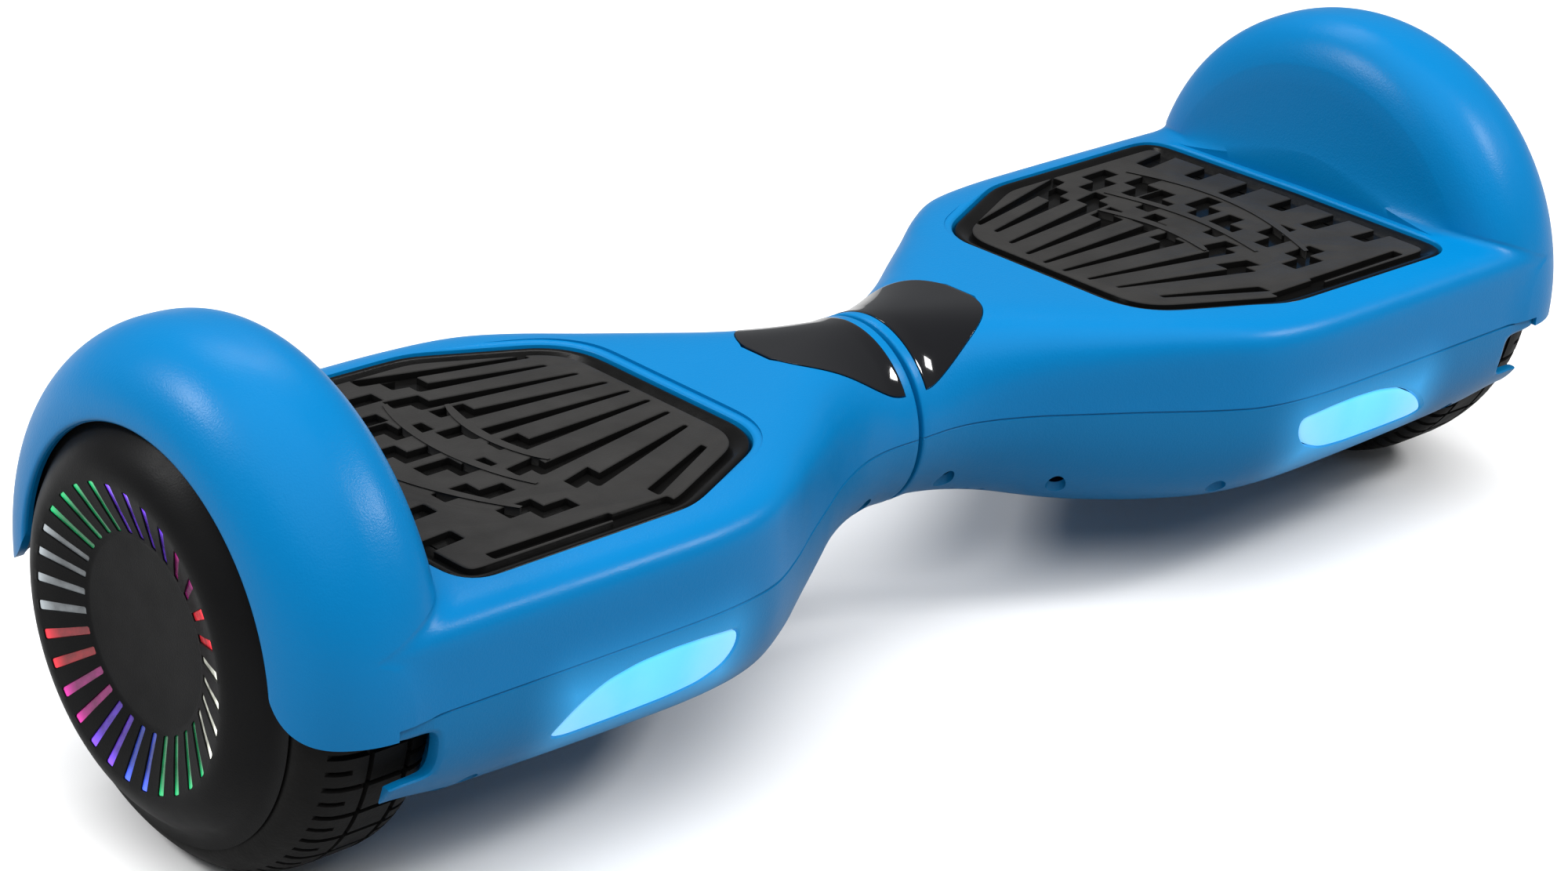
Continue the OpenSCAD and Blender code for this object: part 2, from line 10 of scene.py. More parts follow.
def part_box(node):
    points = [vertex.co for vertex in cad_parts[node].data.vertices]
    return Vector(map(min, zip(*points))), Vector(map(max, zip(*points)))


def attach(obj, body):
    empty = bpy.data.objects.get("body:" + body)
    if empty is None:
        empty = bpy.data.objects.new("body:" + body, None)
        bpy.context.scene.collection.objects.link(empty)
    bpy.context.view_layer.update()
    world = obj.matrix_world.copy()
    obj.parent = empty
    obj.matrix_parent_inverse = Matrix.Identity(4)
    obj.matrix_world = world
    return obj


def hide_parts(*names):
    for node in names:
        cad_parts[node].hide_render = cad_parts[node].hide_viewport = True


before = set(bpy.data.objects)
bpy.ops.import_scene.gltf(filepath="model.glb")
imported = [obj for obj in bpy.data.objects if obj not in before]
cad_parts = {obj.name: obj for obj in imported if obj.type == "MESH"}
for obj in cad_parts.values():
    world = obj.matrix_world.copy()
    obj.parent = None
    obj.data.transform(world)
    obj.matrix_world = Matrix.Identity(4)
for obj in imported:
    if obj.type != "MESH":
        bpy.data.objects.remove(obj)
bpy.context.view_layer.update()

MM = 0.001
AXLE_Z = (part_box("centre_shaft")[0].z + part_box("centre_shaft")[1].z) / 2
SIDES = {"left": -1, "right": 1}

# ---- Camera, lights and floor ---------------------------------------------------------------------

scene = bpy.context.scene


def link(obj):
    scene.collection.objects.link(obj)
    return obj


def make_camera():
    """Camera at the view's distance, turned by its right, down and forward directions."""
    data = bpy.data.cameras.new("camera")
    data.lens = 85.3
    data.sensor_width = 36
    camera = link(bpy.data.objects.new("camera", data))
    right = Vector((0.741, -0.6705, 0.0379)).normalized()
    forward = Vector((0.6256, 0.6686, -0.402)).normalized()
    up = right.cross(forward).normalized()
    right = forward.cross(up)
    turn = Matrix((right, up, -forward)).transposed().to_4x4()
    camera.matrix_world = Matrix.Translation((-0.8255, -0.8465, 0.5858)) @ turn
    scene.camera = camera


def area_light(name, place, aim, size, power, colour=(1, 1, 1)):
    data = bpy.data.lights.new(name, "AREA")
    data.shape = "RECTANGLE"
    data.size, data.size_y = size
    data.energy = power
    data.color = colour
    lamp = link(bpy.data.objects.new(name, data))
    lamp.location = place
    lamp.rotation_mode = "QUATERNION"
    lamp.rotation_quaternion = (Vector(aim) - Vector(place)).to_track_quat("-Z", "Y")
    return lamp


FLOOR_BOUNCE, FLOOR_SEEN = 0.42, 0.88
SKY_FILL, SKY_SEEN = 0.2, 1.0


def make_stage():
    """Plain pale floor under a broad overhead light, with three boxes for the highlights."""
    scene.view_settings.view_transform = "Standard"
    world = bpy.data.worlds.new("studio")
    world.use_nodes = True
    nodes, links = world.node_tree.nodes, world.node_tree.links
    sky = nodes["Background"]
    sky.inputs[0].default_value = (0.93, 0.96, 1, 1)
    seen = nodes.new("ShaderNodeLightPath")
    level = nodes.new("ShaderNodeMapRange")
    level.inputs[3].default_value, level.inputs[4].default_value = SKY_FILL, SKY_SEEN
    links.new(seen.outputs["Is Camera Ray"], level.inputs[0])
    links.new(level.outputs[0], sky.inputs[1])
    scene.world = world
    sun = bpy.data.lights.new("overhead", "SUN")
    sun.energy = 4.0
    sun.angle = math.radians(75)
    overhead = link(bpy.data.objects.new("overhead", sun))
    overhead.rotation_mode = "QUATERNION"
    overhead.rotation_quaternion = Vector((0.2, 0.25, -1)).to_track_quat("-Z", "Y")
    overhead.visible_glossy = False
    area_light("back_left_box", (-1.2, 0.85, 1.25), (0, 0, 0.1), (0.4, 0.4), 14)
    area_light("front_right_box", (1.0, -0.95, 1.3), (0, 0, 0.1), (0.35, 0.35), 13)
    area_light("top_strip", (0.35, 0.9, 1.5), (0.1, 0, 0.08), (1.0, 0.2), 5)
    mesh = bpy.data.meshes.new("floor")
    half = 6
    corners = [(-half, -half, 0), (half, -half, 0), (half, half, 0), (-half, half, 0)]
    mesh.from_pydata(corners, [], [(0, 1, 2, 3)])
    floor = link(bpy.data.objects.new("floor", mesh))
    paint = bpy.data.materials.new("floor_paper")
    paint.use_nodes = True
    shader = paint.node_tree.nodes["Principled BSDF"]
    light_path = paint.node_tree.nodes.new("ShaderNodeLightPath")
    shade = paint.node_tree.nodes.new("ShaderNodeMapRange")
    shade.inputs[3].default_value, shade.inputs[4].default_value = FLOOR_BOUNCE, FLOOR_SEEN
    paint.node_tree.links.new(light_path.outputs["Is Camera Ray"], shade.inputs[0])
    paint.node_tree.links.new(shade.outputs[0], shader.inputs["Base Color"])
    shader.inputs["Roughness"].default_value = 0.8
    mesh.materials.append(paint)


make_camera()
make_stage()

# ---- Materials ------------------------------------------------------------------------------------


class Paint:
    """A node material under construction, in the object's own coordinates."""

    def __init__(self, name, colour, roughness, metallic=0.0):
        self.material = bpy.data.materials.new(name)
        self.material.use_nodes = True
        self.tree = self.material.node_tree
        self.shader = self.tree.nodes["Principled BSDF"]
        self.shader.inputs["Base Color"].default_value = (*colour, 1)
        self.shader.inputs["Roughness"].default_value = roughness
        self.shader.inputs["Metallic"].default_value = metallic
        self.colour = colour
        self.roughness = roughness
        self.coords = self.tree.nodes.new("ShaderNodeTexCoord").outputs["Object"]
        self.bumps = None

    def put(self, node, key, value):
        if isinstance(value, bpy.types.NodeSocket):
            self.tree.links.new(value, node.inputs[key])
        else:
            node.inputs[key].default_value = value

    def noise(self, scale, detail=3.0, stretch=None):
        """Noise whose features are about 1 / scale metres."""
        coords = self.vector("MULTIPLY", self.coords, stretch) if stretch else self.coords
        made = self.tree.nodes.new("ShaderNodeTexNoise")
        self.put(made, "Vector", coords)
        self.put(made, "Scale", scale)
        self.put(made, "Detail", detail)
        return made.outputs["Fac"]

    def vector(self, operation, a, b=None, output="Vector"):
        made = self.tree.nodes.new("ShaderNodeVectorMath")
        made.operation = operation
        self.put(made, 0, a)
        if b is not None:
            self.put(made, 1, b)
        return made.outputs[output]

    def maths(self, operation, a, b=None, clamp=False):
        made = self.tree.nodes.new("ShaderNodeMath")
        made.operation = operation
        made.use_clamp = clamp
        self.put(made, 0, a)
        if b is not None:
            self.put(made, 1, b)
        return made.outputs[0]

    def ramp(self, value, low, high, to_low=0.0, to_high=1.0):
        made = self.tree.nodes.new("ShaderNodeMapRange")
        for key, number in zip(range(1, 5), (low, high, to_low, to_high)):
            made.inputs[key].default_value = number
        self.put(made, 0, value)
        return made.outputs[0]

    def mix(self, share, a, b):
        made = self.tree.nodes.new("ShaderNodeMix")
        made.data_type = "RGBA"
        self.put(made, 0, share)
        self.put(made, 6, (*a, 1))
        self.put(made, 7, (*b, 1))
        return made.outputs[2]

    def vary_colour(self, share, dark, light):
        """Colour that wanders between two shades of the base colour."""
        shades = [tuple(c * k for c in self.colour) for k in (dark, light)]
        self.put(self.shader, "Base Color", self.mix(share, *shades))
        return self

    def vary_roughness(self, share, spread):
        self.put(self.shader, "Roughness",
                 self.ramp(share, 0.3, 0.7, self.roughness - spread, self.roughness + spread))
        return self

    def bump(self, height, distance, strength=1.0):
        made = self.tree.nodes.new("ShaderNodeBump")
        self.put(made, "Height", height)
        self.put(made, "Distance", distance)
        self.put(made, "Strength", strength)
        if self.bumps is not None:
            self.put(made, "Normal", self.bumps)
        self.bumps = made.outputs[0]
        self.put(self.shader, "Normal", self.bumps)
        return self

    def set(self, **inputs):
        for key, value in inputs.items():
            self.shader.inputs[key.replace("_", " ")].default_value = value
        return self

    def glow(self, colour, strength):
        socket = isinstance(colour, bpy.types.NodeSocket)
        self.put(self.shader, "Emission Color", colour if socket else (*colour, 1))
        self.put(self.shader, "Emission Strength", strength)
        return self


PAINTED_GLOW_CYAN = (0.07, 0.5, 1.0)
LENS_X, LENS_Z = 168 * MM, -19.5 * MM
LENS_HALF_X, LENS_HALF_Z = 30 * MM, 6 * MM


def shell_paint(name, colour):
    """Satin moulded plastic with a spark-eroded grain, and a painted cyan glow on the shell round the headlights."""
    paint = Paint(name, colour, 0.33)
    grain = paint.noise(1500, 2.0)
    paint.vary_colour(paint.noise(9, 2.0), 0.96, 1.04)
    paint.vary_roughness(paint.noise(60, 4.0), 0.03)
    paint.bump(grain, 0.00012, 0.55)
    paint.bump(paint.noise(420, 2.0), 0.0001, 0.35)
    paint.set(Specular_IOR_Level=0.17)
    # Painted glow: the shell itself emits cyan light round each headlight, fading out within 24 mm, on the front
    # side only.
    separate = paint.tree.nodes.new("ShaderNodeSeparateXYZ")
    paint.put(separate, 0, paint.coords)
    away_x = paint.maths("SUBTRACT", paint.maths("ABSOLUTE", separate.outputs[0]), LENS_X)
    away_z = paint.maths("SUBTRACT", separate.outputs[2], AXLE_Z + LENS_Z)
    out_x = paint.maths("MAXIMUM", paint.maths("SUBTRACT", paint.maths("ABSOLUTE", away_x), LENS_HALF_X), 0.0)
    out_z = paint.maths("MAXIMUM", paint.maths("SUBTRACT", paint.maths("ABSOLUTE", away_z), LENS_HALF_Z), 0.0)
    distance = paint.maths("SQRT", paint.maths("ADD", paint.maths("MULTIPLY", out_x, out_x),
                                               paint.maths("MULTIPLY", out_z, out_z)))
    painted_halo = paint.maths("POWER", paint.ramp(distance, 0.0, 0.024, 1.0, 0.0), 2.2)
    front = paint.ramp(separate.outputs[1], -0.05, -0.07)
    paint.glow(PAINTED_GLOW_CYAN, paint.maths("MULTIPLY", paint.maths("MULTIPLY", painted_halo, front), 0.45))
    return paint.material


def gloss_black():
    paint = Paint("cover_gloss_black", (0.004, 0.004, 0.005), 0.08)
    paint.vary_roughness(paint.noise(70, 4.0), 0.02)
    paint.bump(paint.noise(35, 1.0), 0.0002, 0.06)
    return paint.set(Coat_Weight=0.6, Coat_Roughness=0.04).material


def satin_black(name, level=0.006, roughness=0.4):
    paint = Paint(name, (level, level, level * 1.04), roughness)
    paint.vary_colour(paint.noise(40, 3.0), 0.85, 1.2)
    paint.vary_roughness(paint.noise(90, 4.0), 0.04)
    paint.bump(paint.noise(1600, 2.0), 0.00008, 0.5)
    return paint.set(Specular_IOR_Level=0.08).material


def rubber(name, level, roughness, grain=900, depth=0.00015):
    paint = Paint(name, (level, level * 0.97, level * 0.94), roughness)
    paint.vary_colour(paint.noise(60, 5.0), 0.7, 1.35)
    paint.vary_roughness(paint.noise(130, 4.0), 0.05)
    paint.bump(paint.noise(grain, 3.0), depth, 0.6)
    return paint.set(Specular_IOR_Level=0.08).material


def lens_paint():
    """Diffusing lens lit from behind, a little whiter towards its ends."""
    paint = Paint("headlight_diffuser", (0.05, 0.25, 0.5), 0.3)
    separate = paint.tree.nodes.new("ShaderNodeSeparateXYZ")
    paint.put(separate, 0, paint.coords)
    along_x = paint.maths("ABSOLUTE", separate.outputs[0])
    away = paint.maths("ABSOLUTE", paint.maths("SUBTRACT", along_x, LENS_X))
    cloud = paint.noise(45, 2.0)
    ends = paint.maths("ADD", paint.ramp(away, 0.01, 0.036), paint.ramp(cloud, 0.35, 0.7, -0.15, 0.15), True)
    colour = paint.mix(ends, (0.1, 0.56, 0.95), (0.3, 0.66, 0.95))
    paint.glow(colour, paint.ramp(away, 0.0, 0.036, 0.98, 0.8))
    paint.bump(paint.noise(700, 2.0), 0.0001, 0.3)
    return paint.material


def guide_paint(name, colour, strength):
    """Clear light guide that glows most at its outer tip."""
    paint = Paint(name, tuple(0.1 * c + 0.012 for c in colour), 0.18)
    centred = paint.vector("SUBTRACT", paint.coords, (0, 0, AXLE_Z))
    flat = paint.vector("MULTIPLY", centred, (0, 1, 1))
    radius = paint.vector("LENGTH", flat, output="Value")
    tip = paint.maths("POWER", paint.ramp(radius, 0.042, 0.0478), 2.0)
    body = paint.ramp(paint.noise(260, 3.0), 0.35, 0.75, 0.1, 0.34)
    level = paint.maths("MULTIPLY", paint.maths("ADD", body, tip), strength)
    paint.glow(colour, level)
    paint.bump(paint.noise(500, 2.0), 0.0001, 0.25)
    return paint.set(Coat_Weight=0.5, Coat_Roughness=0.06).material


def metal(name, colour, roughness, stretch=None, scale=500, depth=0.00003):
    paint = Paint(name, colour, roughness, 1.0)
    lines = paint.noise(scale, 5.0, stretch=stretch)
    paint.vary_colour(paint.noise(25, 4.0), 0.85, 1.08)
    paint.vary_roughness(lines, 0.1)
    paint.bump(lines, depth, 0.6)
    return paint.material


def cast_metal():
    paint = Paint("die_cast_aluminium", (0.56, 0.57, 0.58), 0.5, 1.0)
    paint.vary_colour(paint.noise(45, 5.0), 0.75, 1.1)
    paint.vary_roughness(paint.noise(110, 4.0), 0.1)
    paint.bump(paint.noise(700, 4.0), 0.0002, 0.5)
    return paint.material


def circuit_board():
    """Green solder mask with copper tracks under it."""
    paint = Paint("circuit_board_mask", (0.01, 0.12, 0.045), 0.32)
    bands = paint.maths("FRACT", paint.maths("MULTIPLY", paint.noise(70, 0.0), 18.0))
    tracks = paint.maths("GREATER_THAN", bands, 0.6)
    colour = paint.mix(tracks, (0.008, 0.1, 0.036), (0.03, 0.22, 0.07))
    paint.put(paint.shader, "Base Color", colour)
    paint.bump(tracks, 0.0001, 0.5)
    return paint.set(Coat_Weight=0.3).material


def film_wrap():
    paint = Paint("heat_shrink_film", (0.015, 0.1, 0.4), 0.3)
    wrinkles = paint.noise(120, 3.0, stretch=(1, 0.25, 1))
    paint.vary_colour(wrinkles, 0.8, 1.2)
    paint.bump(wrinkles, 0.0006, 0.5)
    return paint.set(Coat_Weight=0.4, Coat_Roughness=0.1).material


def woven_strap():
    paint = Paint("woven_strap", (0.02, 0.02, 0.022), 0.85)
    wave = paint.tree.nodes.new("ShaderNodeTexWave")
    wave.bands_direction = "DIAGONAL"
    paint.put(wave, "Vector", paint.coords)
    paint.put(wave, "Scale", 420.0)
    paint.vary_colour(wave.outputs["Fac"], 0.6, 1.6)
    paint.bump(wave.outputs["Fac"], 0.0003, 0.8)
    return paint.material


def copper_wire():
    paint = Paint("enamelled_copper", (0.62, 0.22, 0.08), 0.3, 1.0)
    wave = paint.tree.nodes.new("ShaderNodeTexWave")
    wave.wave_type = "RINGS"
    wave.rings_direction = "X"
    paint.put(wave, "Vector", paint.vector("SUBTRACT", paint.coords, (0, 0, AXLE_Z)))
    paint.put(wave, "Scale", 260.0)
    paint.put(wave, "Distortion", 1.5)
    paint.vary_colour(wave.outputs["Fac"], 0.65, 1.15)
    paint.bump(wave.outputs["Fac"], 0.0004, 0.9)
    return paint.material


BLUE = shell_paint("shell_blue_plastic", (0.0, 0.155, 0.39))
# The lower shell takes the same blue plastic painted about an eighth darker: painted shade on the lower half of the
# body.
BLUE_LOW_SHADED = shell_paint("lower_blue_plastic_painted_shade", (0.001, 0.14, 0.34))
GLOSS = gloss_black()
HUB_BLACK = satin_black("hubcap_satin_black")
PLASTIC = satin_black("inner_black_plastic", 0.016, 0.5)
PAD_TOP = rubber("pad_rib_rubber", 0.026, 0.6, 1100)
# The channel rubber is glossier, and it is painted far darker than the rib tops, partly as painted shade in the
# channels.
PAD_CHANNEL_SHADED = rubber("pad_channel_rubber_painted_shade", 0.004, 0.2, 500, 0.00005)
TYRE_RUBBER = rubber("tyre_rubber", 0.007, 0.5, 700)
CABLE_RUBBER = rubber("cable_rubber", 0.016, 0.5)
LENS = lens_paint()
STEEL = metal("turned_steel", (0.55, 0.56, 0.58), 0.32, (1, 0.05, 0.05))
DARK_STEEL = metal("black_oxide_steel", (0.05, 0.05, 0.055), 0.42)
LAMINATION = metal("stator_lamination", (0.28, 0.29, 0.31), 0.45, (12, 0.4, 0.4), 300)
BRONZE = metal("sintered_bronze", (0.45, 0.3, 0.12), 0.45, None, 900)
CAST = cast_metal()
BOARD = circuit_board()
FILM = film_wrap()
STRAP = woven_strap()
COPPER = copper_wire()
BUTTON = satin_black("button_silver_plastic", 0.55, 0.3)

# ---- Mesh helpers ---------------------------------------------------------------------------------


def add_object(name, points, faces, materials, side=1, face_materials=None):
    """Object from points in millimetres with the axle line at z = 0; side -1 mirrors it to the left."""
    place = np.asarray(points, float) * (side * MM, MM, MM) + (0, 0, AXLE_Z)
    if side < 0:
        faces = [f[::-1] for f in faces]
    mesh = bpy.data.meshes.new(name)
    mesh.from_pydata(place.tolist(), [], [tuple(int(i) for i in f) for f in faces])
    for material in materials:
        mesh.materials.append(material)
    if face_materials is not None:
        mesh.polygons.foreach_set("material_index", list(face_materials))
    mesh.update()
    return link(bpy.data.objects.new(name, mesh))


def finish_piece(obj, body, slot, *replaced, sharp=32):
    """Smooth shading with sharp edges kept, and the piece hung on its body; the slot is not used."""
    obj.data.polygons.foreach_set("use_smooth", [True] * len(obj.data.polygons))
    obj.data.set_sharp_from_angle(angle=math.radians(sharp))
    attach(obj, body)
    if replaced:
        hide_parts(*replaced)
    return obj


def bake_modifiers(obj):
    """Replaces the object's mesh with its modified one."""
    graph = bpy.context.evaluated_depsgraph_get()
    mesh = bpy.data.meshes.new_from_object(obj.evaluated_get(graph))
    obj.modifiers.clear()
    old = obj.data
    obj.data = mesh
    bpy.data.meshes.remove(old)


def combine(obj, others, operation="DIFFERENCE"):
    """Applies a Boolean with each of the others, and removes them."""
    for other in others:
        modifier = obj.modifiers.new("combine", "BOOLEAN")
        modifier.operation = operation
        modifier.solver = "MANIFOLD"
        modifier.object = other
        bake_modifiers(obj)
        mesh = other.data
        bpy.data.objects.remove(other)
        bpy.data.meshes.remove(mesh)
    return obj


def mirrored(obj, name):
    """Copy of a right-hand piece for the left side."""
    mesh = obj.data.copy()
    mesh.transform(Matrix.Diagonal((-1, 1, 1, 1)))
    mesh.flip_normals()
    return link(bpy.data.objects.new(name, mesh))


def loft(rings, closed=True, caps=True):
    """Faces that join rings of equal length, given as an array of shape (rings, points, 3)."""
    rings = np.asarray(rings, float)
    count, size = rings.shape[:2]
    faces = []
    for i in range(count - 1):
        for j in range(size if closed else size - 1):
            k = (j + 1) % size
            faces.append((i * size + j, (i + 1) * size + j, (i + 1) * size + k, i * size + k))
    if caps:
        faces.append(tuple(range(size)))
        faces.append(tuple(range(count * size - 1, (count - 1) * size - 1, -1)))
    return rings.reshape(-1, 3), faces


def outward(obj):
    """Turns the faces of a closed mesh outwards."""
    shape = bmesh.new()
    shape.from_mesh(obj.data)
    bmesh.ops.recalc_face_normals(shape, faces=shape.faces)
    if shape.calc_volume(signed=True) < 0:
        bmesh.ops.reverse_faces(shape, faces=shape.faces)
    shape.to_mesh(obj.data)
    shape.free()
    return obj


def solid(name, rings, materials=(), side=1):
    """Closed loft."""
    return outward(add_object(name, *loft(rings), materials, side))


def revolve(name, profile, steps, materials=(), side=1):
    """Solid of revolution about the axle from closed [radius, x] points, all off the axis."""
    turns = np.linspace(0, 2 * np.pi, steps, endpoint=False)
    profile = np.asarray(profile, float)
    points = np.array([[(x, r * math.cos(t), r * math.sin(t)) for r, x in profile] for t in turns])
    size = len(profile)
    faces = [(i * size + j, i * size + (j + 1) % size,
              (i + 1) % steps * size + (j + 1) % size, (i + 1) % steps * size + j)
             for i in range(steps) for j in range(size)]
    return outward(add_object(name, points.reshape(-1, 3), faces, materials, side))


def bevel(obj, width, segments=2, angle=40):
    modifier = obj.modifiers.new("edge_round", "BEVEL")
    modifier.width = width * MM
    modifier.segments = segments
    modifier.limit_method = "ANGLE"
    modifier.angle_limit = math.radians(angle)
    modifier.harden_normals = False
    return obj


# ---- Body outline, the same curves as the CAD -----------------------------------------------------

SEAM_Z = -3
WALL = 2.6
WELL_WALL = 3.0
WAIST_GAP = 1
EDGE_R = 0.8
WAIST_STATIONS = [1.0, 1.1, 1.35, 1.8]


def curve(*stations):
    """Smooth function through [x, value] stations."""
    xs, ys = np.array(stations, float).T
    slopes = np.zeros_like(ys)
    slopes[1:-1] = (ys[2:] - ys[:-2]) / (xs[2:] - xs[:-2])

    def value(x):
        x = np.clip(x, xs[0], xs[-1])
        k = np.clip(np.searchsorted(xs, x, side="right") - 1, 0, len(xs) - 2)
        w = xs[k + 1] - xs[k]
        u = (x - xs[k]) / w
        return ((2 * u**3 - 3 * u**2 + 1) * ys[k] + (u**3 - 2 * u**2 + u) * w * slopes[k]
                + (3 * u**2 - 2 * u**3) * ys[k + 1] + (u**3 - u**2) * w * slopes[k + 1])

    return value


half_width = curve([0, 33], [15, 33], [28, 35.5], [45, 43], [62, 53.5], [80, 65], [98, 77], [115, 86],
                   [135, 90], [160, 91], [236, 90.5], [264, 90])
top_rise = curve([0, 33.6], [15, 33.6], [40, 33], [70, 32.5], [100, 32], [140, 31], [236, 31])
bottom_drop = curve([0, 33.6], [12, 33.6], [40, 38], [75, 47], [110, 50], [150, 50], [236, 48], [264, 45])
upper_power = curve([0, 2], [12, 2], [40, 3.2], [75, 5.5], [110, 8], [236, 9])
lower_power = curve([0, 2], [12, 2], [50, 2.3], [110, 2.8], [264, 2.8])


def section(x, angle, inset=0.0):
    """Points of the section at x, at angles from +Y, pulled in by inset."""
    angle = np.asarray(angle, float)
    x = np.broadcast_to(np.asarray(x, float), angle.shape)
    up = np.sin(angle) >= 0
    power = 2 / np.where(up, upper_power(x), lower_power(x))
    rise = np.where(up, top_rise(x), bottom_drop(x)) - inset
    y = (half_width(x) - inset) * np.sign(np.cos(angle)) * np.abs(np.cos(angle)) ** power
    z = SEAM_Z + rise * np.sign(np.sin(angle)) * np.abs(np.sin(angle)) ** power
    return np.stack([x, y, z], -1)


def body_radius(x, theta):
    """Distance from the axle line to the upper surface, along rays at angle theta from +Y."""
    low, high = np.zeros_like(theta), np.full_like(theta, 140.0)
    width, rise, power = half_width(x), top_rise(x), upper_power(x)
    for _ in range(44):
        r = (low + high) / 2
        z = np.maximum(r * np.sin(theta) - SEAM_Z, 0)
        inside = (np.abs(r * np.cos(theta)) / width) ** power + (z / rise) ** power < 1
        low, high = np.where(inside, r, low), np.where(inside, high, r)
    return (low + high) / 2


def lower_depth(x, z):
    """Half width of the lower body at x and height z."""
    power = lower_power(x)
    share = np.clip((SEAM_Z - z) / bottom_drop(x), 0, 0.999)
    return half_width(x) * (1 - share**power) ** (1 / power)


def edge_pull(x):
    """How far the rounded edge at the waist joint pulls the surface in at x."""
    into = np.clip(WAIST_GAP + EDGE_R - x, 0, EDGE_R)
    return EDGE_R - np.sqrt(np.maximum(EDGE_R**2 - into**2, 0))


FENDER_X0, FENDER_XC, FENDER_X1 = 234.5, 262.0, 291.5
FENDER_R, SHOULDER_R, OPENING_R = 91.5, 47.5, 65.0
INNER_POWER = 2.9
FILLET = 8.0
LIP = 1.3


def fender_face_x(r):
    """Where the fender's inner face is at radius r."""
    u = np.clip((r - SHOULDER_R) / (FENDER_R - SHOULDER_R), 0, 1)
    return FENDER_XC - (FENDER_XC - FENDER_X0) * (1 - u**INNER_POWER) ** (1 / INNER_POWER)


def along(line, count, start=0.0, end=None):
    """Points at even distances along a polyline, from start to end in millimetres."""
    steps = np.hypot(*np.diff(line, axis=0).T)
    reach = np.concatenate([[0], np.cumsum(steps)])
    where = np.linspace(start, reach[-1] if end is None else end, count)
    return np.stack([np.interp(where, reach, line[:, k]) for k in (0, 1)], -1)


def fender_line(radius, inset=0.0):
    """Fender section as [x, r] from a radius on its inner face, over the crown, to the lip."""
    u = np.clip((radius - SHOULDER_R) / (FENDER_R - SHOULDER_R), 0, 1)
    first = math.asin(u ** (INNER_POWER / 2))
    a = np.linspace(first, np.pi / 2, 160)
    inner_r = SHOULDER_R + (FENDER_R - SHOULDER_R - inset) * np.sin(a) ** (2 / INNER_POWER)
    inner_x = FENDER_XC - (FENDER_XC - FENDER_X0 - inset) * np.cos(a) ** (2 / INNER_POWER)
    b = np.linspace(np.pi / 2, 0, 160)[1:]
    outer_r = OPENING_R - 1 + (FENDER_R - OPENING_R + 1 - inset) * np.sin(b)
    outer_x = FENDER_XC + (FENDER_X1 - FENDER_XC - inset) * np.cos(b)
    line = np.stack([np.concatenate([inner_x, outer_x]), np.concatenate([inner_r, outer_r])], -1)
    if radius < SHOULDER_R:
        line = np.concatenate([[[FENDER_X0 + inset, radius]], line])
    return line


def profile(theta):
    """Upper surface as [x, r] along the ray angle theta, from the waist over the platform and fender."""
    meet = FENDER_X0
    for _ in range(6):
        meet = float(fender_face_x(body_radius(np.array([meet]), np.array([theta]))[0]))
    r_meet = float(body_radius(np.array([meet]), np.array([theta]))[0])
    share = np.linspace(0, 1, 92)
    x = WAIST_GAP + (meet - FILLET - WAIST_GAP) * (share * 0.75 + share**2 * 0.25)
    x = np.concatenate([WAIST_STATIONS, x[x > 2.2][-90:]])
    r = body_radius(x, np.full_like(x, theta)) - edge_pull(x)
    fender = fender_line(r_meet)
    fender = fender[fender[:, 1] > OPENING_R + LIP]
    rest = along(fender, 64, FILLET)
    start, corner, end = np.array([x[-1], r[-1]]), np.array([meet, r_meet]), rest[0]
    t = np.linspace(0, 1, 12)[1:-1, None]
    blend = (1 - t) ** 2 * start + 2 * t * (1 - t) * corner + t**2 * end
    turn = np.linspace(0, np.pi / 2, 5)[1:]
    tip = rest[-1] + np.stack([LIP * (np.cos(turn) - 1), -LIP * np.sin(turn)], -1)
    return np.concatenate([np.stack([x, r], -1), blend, rest, tip])


def ray_angles(count):
    """Ray angles over the top, shared between even turns and even distances on the platform."""
    dense = np.linspace(math.radians(-9), math.radians(189), 4000)
    r = body_radius(np.full_like(dense, 160.0), dense)
    steps = np.hypot(*np.diff([r * np.cos(dense), r * np.sin(dense)], axis=1))
    reach = np.concatenate([[0], np.cumsum(steps)])
    share = 0.5 * reach / reach[-1] + 0.5 * (dense - dense[0]) / (dense[-1] - dense[0])
    return np.interp(np.linspace(0, 1, count), share, dense)


# ---- Pad outline ----------------------------------------------------------------------------------

PAD_CIRCLES = [(113, 33, 26), (146, 47, 28), (219, 66, 10)]
PAD_MIDDLE = (219.5, 0, 11)
PLATFORM_Z = 28
PAD_Z = 24


def pad_outline(count=220):
    """Hull of the circles, as evenly spaced points that run anticlockwise."""
    turns = np.linspace(0, 2 * np.pi, 120, endpoint=False)
    circles = [(x, s * y, r) for x, y, r in PAD_CIRCLES for s in (-1, 1)] + [PAD_MIDDLE]
    dots = sorted((x + r * math.cos(t), y + r * math.sin(t)) for x, y, r in circles for t in turns)

    def chain(points):
        hull = []
        for p in points:
            while len(hull) > 1 and ((hull[-1][0] - hull[-2][0]) * (p[1] - hull[-2][1])
                                     <= (hull[-1][1] - hull[-2][1]) * (p[0] - hull[-2][0])):
                hull.pop()
            hull.append(p)
        return hull[:-1]

    hull = np.array(chain(dots) + chain(dots[::-1]))
    ring = along(np.vstack([hull, hull[:1]]), count + 1)[:-1]
    for _ in range(3):
        ring = (np.roll(ring, 1, 0) + 2 * ring + np.roll(ring, -1, 0)) / 4
    return ring


def pushed_out(outline, distance):
    """Outline moved outwards along its normals."""
    tangent = np.roll(outline, -1, 0) - np.roll(outline, 1, 0)
    normal = np.stack([tangent[:, 1], -tangent[:, 0]], -1)
    return outline + distance * normal / np.linalg.norm(normal, axis=1)[:, None]


def stack(outline, levels):
    """Rings at [height, push] levels above the same outline."""
    return [np.column_stack([pushed_out(outline, push), np.full(len(outline), z)]) for z, push in levels]


PAD_OUTLINE = pad_outline()

# ---- Shells ---------------------------------------------------------------------------------------

